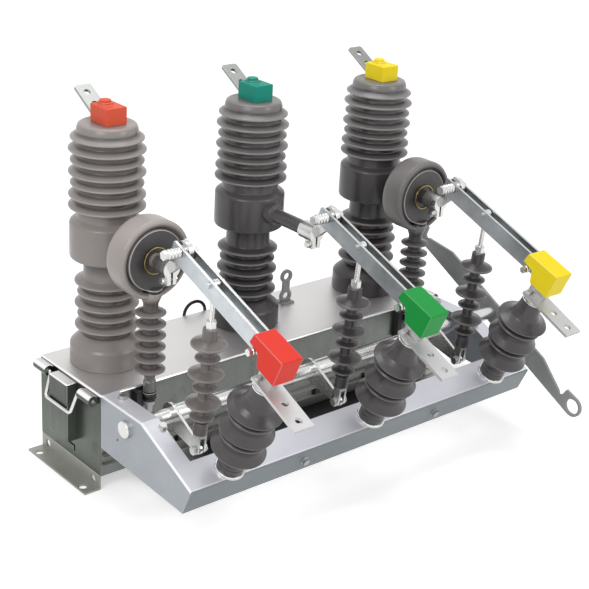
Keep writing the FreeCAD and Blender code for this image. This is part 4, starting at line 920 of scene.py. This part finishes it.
class BREAKER_OT_posts(bpy.types.Operator):
    """Turn the three leaning post insulators and the bright ring at the foot of each"""

    bl_idname = "breaker.posts"
    bl_label = "Post insulators"

    def post_profile(self):
        """Foot, three large sheds with a small one between each two, and the head, in mm."""
        rim = sizes().rim / MM
        foot, head, top = 25, 22, 213.6
        levels = (59, 110, 161)
        corners = [(0, 3, 0), (foot, 3, 0), (foot, 16, 1), (foot - 1, 18, 1), (foot, 20, 1),
                   (foot, 30, 2), (36, 44, 4)]
        for level in levels:
            corners += [(50, level - 2, 0.8), (51.2, level, 0.8), (50.2, level + 1.6, 0.8)]
            if level < levels[-1]:
                corners += [(42, level + 13, 8), (36.5, level + 26, 4), (44, level + 32.5, 1),
                            (45.3, level + 35, rim), (43, level + 37.5, 1),
                            (34, level + 40.5, 2), (34, level + 44, 2)]
        corners += [(40, 167.5, 6), (31, 175, 8), (25.8, 186, 9), (23.2, 198, 9),
                    (head, top, 0.8), (0, top, 0)]
        return corners

    def seat_profile(self):
        """The ring round a post's foot, in mm."""
        inner, outer, height = 25, 28.5, 6
        return [(inner, 0, 0), (outer, 0, 0), (outer, height - 2, 1), (outer - 1, height, 1),
                (inner, height, 0), (inner, 0, 0)]

    def execute(self, context):
        first = turned("rubber_post_a", self.post_profile(), sizes().spin_steps, segments=3)
        move(first, PHASES["a"], *POST_FOOT, FRAME_SLOPE)
        smooth(first, TURNED_ANGLE)
        dark = colours().rubber_dark
        skin = finish_named("post_rubber", rubber_finish, dark, dark)
        for phase, post in phase_copies(first, "rubber_post").items():
            settle(post, "base", "silicone", skin, f"post_insulator_{phase}")
        seat = turned("seat_ring_a", self.seat_profile(), steps=64, segments=3)
        move(seat, PHASES["a"], *POST_FOOT, FRAME_SLOPE)
        smooth(seat, TURNED_ANGLE)
        for ring in phase_copies(seat, "seat_ring").values():
            settle(ring, "base", "zinc", zinc_plate())
        return {"FINISHED"}


class BREAKER_OT_sheet_metal(bpy.types.Operator):
    """Dress the box with its feet and handles, and the frame with its shaft and cranks"""

    bl_idname = "breaker.sheet_metal"
    bl_label = "Box and frame"

    def execute(self, context):
        tones, size = colours(), sizes()
        sheet = finish_named("bright_sheet", stainless_finish, tones)
        coat = finish_named("frame_coat", coat_finish, tones)
        zinc = zinc_plate()
        foot = finish_named("foot_plate", zinc_finish, tones.foot, roughness=0.40, metallic=0.5)
        screw = finish_named("screw_plate", zinc_finish, tones.screw, roughness=0.26,
                             contrast=0.3)
        for node in ("mechanism_housing", "housing_base_plate", "end_cover", "handle_lugs"):
            rounded_node(node, "base", sheet, size.plate_edge)
        for side in ("left", "right"):
            rounded_node(f"mounting_foot_{side}", "base", foot, size.plate_edge)
        rounded_node("frame_screws", "base", screw, size.plate_edge)
        rounded_node("disconnector_frame", "base", coat, size.plate_edge)
        for side in ("left", "right"):
            rounded_node(f"handle_{side}", f"bail_{side}", zinc, 0)
        for node, body in (("shaft_bearings", "base"), ("disconnector_shaft", "switch_shaft"),
                           ("crank_a", "switch_shaft"), ("crank_b", "switch_shaft"),
                           ("crank_c", "switch_shaft")):
            rounded_node(node, body, zinc, size.plate_edge)
        return {"FINISHED"}


class BREAKER_OT_switch_gear(bpy.types.Operator):
    """Round and finish the blades, clamps, terminals, lever and the rods' and posts' metal"""

    bl_idname = "breaker.switch_gear"
    bl_label = "Blades, clamps and lever"

    def execute(self, context):
        tones, size = colours(), sizes()
        zinc = zinc_plate()
        blade = finish_named("blade_plate", blade_finish, tones)
        bar = finish_named("bar_plate", zinc_finish, tones.bar, roughness=0.40, metallic=0.85,
                           contrast=0.12)
        dull = finish_named("dull_bar", zinc_finish, tones.top_bar, roughness=0.34,
                            contrast=0.2)
        lever = lever_paint()
        # Painted highlight on the blades' rounded edges.
        edge_highlight = finish_named("blade_edge", zinc_finish, tones.blade_rim)
        for phase in PHASES:
            knife, rod = f"knife_{phase}", f"rod_{phase}"
            rounded_node(f"blade_{phase}", knife, blade, size.blade_edge,
                         rim=edge_highlight)
            for kind, body, slot, skin in (("blade_bolts", knife, "zinc", zinc),
                                           ("rod_fittings", rod, "zinc", zinc),
                                           ("terminal_clamp", "base", "plated_copper", zinc),
                                           ("front_terminal", "base", "plated_copper", bar),
                                           ("top_terminal", "base", "plated_copper", dull),
                                           ("post_fittings", "base", "zinc", zinc)):
                rounded_node(f"{kind}_{phase}", body, skin, size.plate_edge)
        rounded_node("operating_lever", "switch_shaft", lever, size.plate_edge)
        return {"FINISHED"}


class BREAKER_OT_covers(bpy.types.Operator):
    """Round the coloured covers of the blades and top terminals, and turn the caps' knobs"""

    bl_idname = "breaker.covers"
    bl_label = "Coloured covers"

    def execute(self, context):
        tones, size = colours(), sizes()
        plan = (("blade_cover_a", "knife_a", "cover_red", tones.red),
                ("blade_cover_b", "knife_b", "cover_green", tones.green),
                ("blade_cover_c", "knife_c", "cover_yellow", tones.yellow),
                ("top_cover_a", "base", "cap_orange", tones.orange),
                ("top_cover_b", "base", "cap_teal", tones.teal),
                ("top_cover_c", "base", "cover_yellow", tones.yellow))
        for node, body, slot, tone in plan:
            skin = finish_named(slot, plastic_finish, tone)
            # Painted highlight: a paler plastic on the covers' rounded edges.
            edge_highlight_tone = tuple(part * 0.85 + 0.12 for part in tone)
            rim = finish_named(f"{slot}_rim", plastic_finish, edge_highlight_tone)
            rounded_node(node, body, skin, size.moulded_edge, segments=3, rim=rim)
        radius, cap_top, knob_top = 11, 713, 719.5
        corners = [(0, cap_top, 0), (radius, cap_top, 0), (radius, knob_top, 1.5),
                   (0, knob_top, 0)]
        for phase, slot in zip("abc", ("cap_orange", "cap_teal", "cover_yellow")):
            knob = turned(f"cap_knob_{phase}", corners, steps=32, segments=3)
            move(knob, PHASES[phase] - 4, POLE_Y + 2)
            smooth(knob, TURNED_ANGLE)
            settle(knob, "base", slot, FINISHES[slot])
        return {"FINISHED"}


class BREAKER_OT_fittings(bpy.types.Operator):
    """Finish the glands, blocks, lifting plate, rear loop and the parts held inside"""

    bl_idname = "breaker.fittings"
    bl_label = "Fittings and inner parts"

    def execute(self, context):
        tones, size = colours(), sizes()
        lever = lever_paint()
        black = finish_named("black_paint", paint_finish, tones.black)
        plain = finish_named("machined_steel", zinc_finish, tones.steel, roughness=0.4)
        ceramic = finish_named("glazed_ceramic", paint_finish, tones.ceramic, roughness=0.15)
        fibre = finish_named("glass_fibre_rod", paint_finish, tones.fibre, roughness=0.4)
        gland = finish_named("gland", gland_finish)
        rounded_node("ct_glands", "base", gland, size.gland_edge)
        rounded_node("terminal_blocks", "base", black, size.plate_edge)
        rounded_node("lifting_plate", "base", lever, size.plate_edge)
        rounded_node("rear_loop", "base", black, 0)
        nodes = frame["nodes"]
        for node in ("spring_mechanism", "main_shaft"):
            coat_with(nodes[node], plain)
        for phase in PHASES:
            coat_with(nodes[f"vacuum_interrupter_{phase}"], ceramic)
            coat_with(nodes[f"drive_rod_{phase}"], fibre)
        return {"FINISHED"}


class BREAKER_OT_stage(bpy.types.Operator):
    """Set the camera at the photograph's angle, the lamps, the even light and the floor"""

    bl_idname = "breaker.stage"
    bl_label = "Camera, lamps and floor"

    def add_camera(self, lens):
        bpy.ops.object.camera_add()
        camera = bpy.context.object
        turn = Matrix((CAMERA_RIGHT, CAMERA_UP, CAMERA_BACK)).transposed().to_4x4()
        camera.matrix_world = Matrix.Translation(CAMERA_PLACE) @ turn
        camera.data.lens = lens
        camera.data.sensor_width = 36.0
        bpy.context.scene.camera = camera

    def add_lamp(self, name, place, target, side, power):
        """A rectangular lamp that looks at its target. Places and sides are in metres."""
        bpy.ops.object.light_add(type="AREA", location=place)
        lamp = bpy.context.object
        lamp.name = name
        lamp.data.energy = power
        lamp.data.shape = "RECTANGLE"
        lamp.data.size, lamp.data.size_y = side
        gaze = Vector(target) - Vector(place)
        lamp.rotation_euler = gaze.to_track_quat("-Z", "Y").to_euler()

    def set_world(self, ambient):
        """Even light on the object, and white where it is seen."""
        scene = bpy.context.scene
        scene.world = scene.world or bpy.data.worlds.new("World")
        scene.world.use_nodes = True
        sky = NodeTree(scene.world.node_tree)
        strength = ambient + sky.seen() * (1.0 - ambient)
        light = sky.node("ShaderNodeBackground", {}, {"Color": (1, 1, 1), "Strength": strength})
        sky.end("ShaderNodeOutputWorld", light)

    def floor_material(self):
        """A pale floor that glows a little where it is seen, with a painted shadow under the box."""
        finish = Finish("stage_floor")
        patch = finish.length(finish.mapped(Location=PATCH_MOVE, Scale=PATCH_SCALE))
        # Painted shadow under the box: dark and without glow.
        painted_shadow = 1 - patch.above(*PATCH_EDGE)
        far = finish.length(finish.object_place()).above(*FAR_START)
        tint = finish.mix(painted_shadow, FLOOR_TONE, SHADOW_PATCH_TONE)
        plain = finish.node("ShaderNodeBsdfDiffuse", {}, {"Color": tint})
        strength = finish.seen() * (1 - painted_shadow) * (0.45 + far * 0.3)
        glow = finish.node("ShaderNodeEmission", {}, {"Color": (1, 1, 1), "Strength": strength})
        both = finish.node("ShaderNodeAddShader", {}, {0: plain, 1: glow})
        finish.end("ShaderNodeOutputMaterial", both)
        return finish.material

    def execute(self, context):
        stage = bpy.context.scene.breaker_stage
        deselect()
        self.add_camera(stage.lens)
        self.add_lamp("key_lamp", (-2.6, -1.2, 2.4), (0, 0, 0.3), (1.3, 1.3), stage.key_power)
        self.add_lamp("fill_lamp", (1.3, -2.9, 2.0), (0, 0, 0.3), (1.2, 1.4), stage.fill_power)
        self.add_lamp("top_lamp", (0.2, 0.4, 3.0), (0, 0, 0.2), (1.6, 1.2), stage.top_power)
        self.set_world(stage.ambient)
        bpy.ops.mesh.primitive_plane_add(size=stage.floor_size)
        floor = bpy.context.object
        floor.name = "floor"
        floor.data.materials.append(self.floor_material())
        bpy.context.scene.view_settings.view_transform = "Standard"
        return {"FINISHED"}


class BREAKER_PT_panel(bpy.types.Panel):
    """Lists the steps that dress the breaker."""

    bl_idname = "BREAKER_PT_panel"
    bl_label = "Breaker"
    bl_space_type = "VIEW_3D"
    bl_region_type = "UI"
    bl_category = "Breaker"

    def draw(self, context):
        for step in STEPS:
            self.layout.operator(step.bl_idname)
        for group in ("breaker_sizes", "breaker_colours", "breaker_stage"):
            held = getattr(context.scene, group)
            for name in held.bl_rna.properties.keys():
                if name not in ("rna_type", "name"):
                    self.layout.prop(held, name)


STEPS = (BREAKER_OT_poles, BREAKER_OT_transformers, BREAKER_OT_pull_rods, BREAKER_OT_posts,
         BREAKER_OT_sheet_metal, BREAKER_OT_switch_gear, BREAKER_OT_covers,
         BREAKER_OT_fittings, BREAKER_OT_stage)
GROUPS = (BreakerSizes, BreakerColours, BreakerStage)


def register():
    for item in (*GROUPS, *STEPS, BREAKER_PT_panel):
        bpy.utils.register_class(item)
    bpy.types.Scene.breaker_sizes = PointerProperty(type=BreakerSizes)
    bpy.types.Scene.breaker_colours = PointerProperty(type=BreakerColours)
    bpy.types.Scene.breaker_stage = PointerProperty(type=BreakerStage)


def unregister():
    for name in ("breaker_sizes", "breaker_colours", "breaker_stage"):
        delattr(bpy.types.Scene, name)
    for item in (BREAKER_PT_panel, *reversed(STEPS), *reversed(GROUPS)):
        bpy.utils.unregister_class(item)


def main():
    register()
    bpy.ops.breaker.poles()
    bpy.ops.breaker.transformers()
    bpy.ops.breaker.pull_rods()
    bpy.ops.breaker.posts()
    bpy.ops.breaker.sheet_metal()
    bpy.ops.breaker.switch_gear()
    bpy.ops.breaker.covers()
    bpy.ops.breaker.fittings()
    bpy.ops.breaker.stage()


if __name__ == "__main__":
    main()
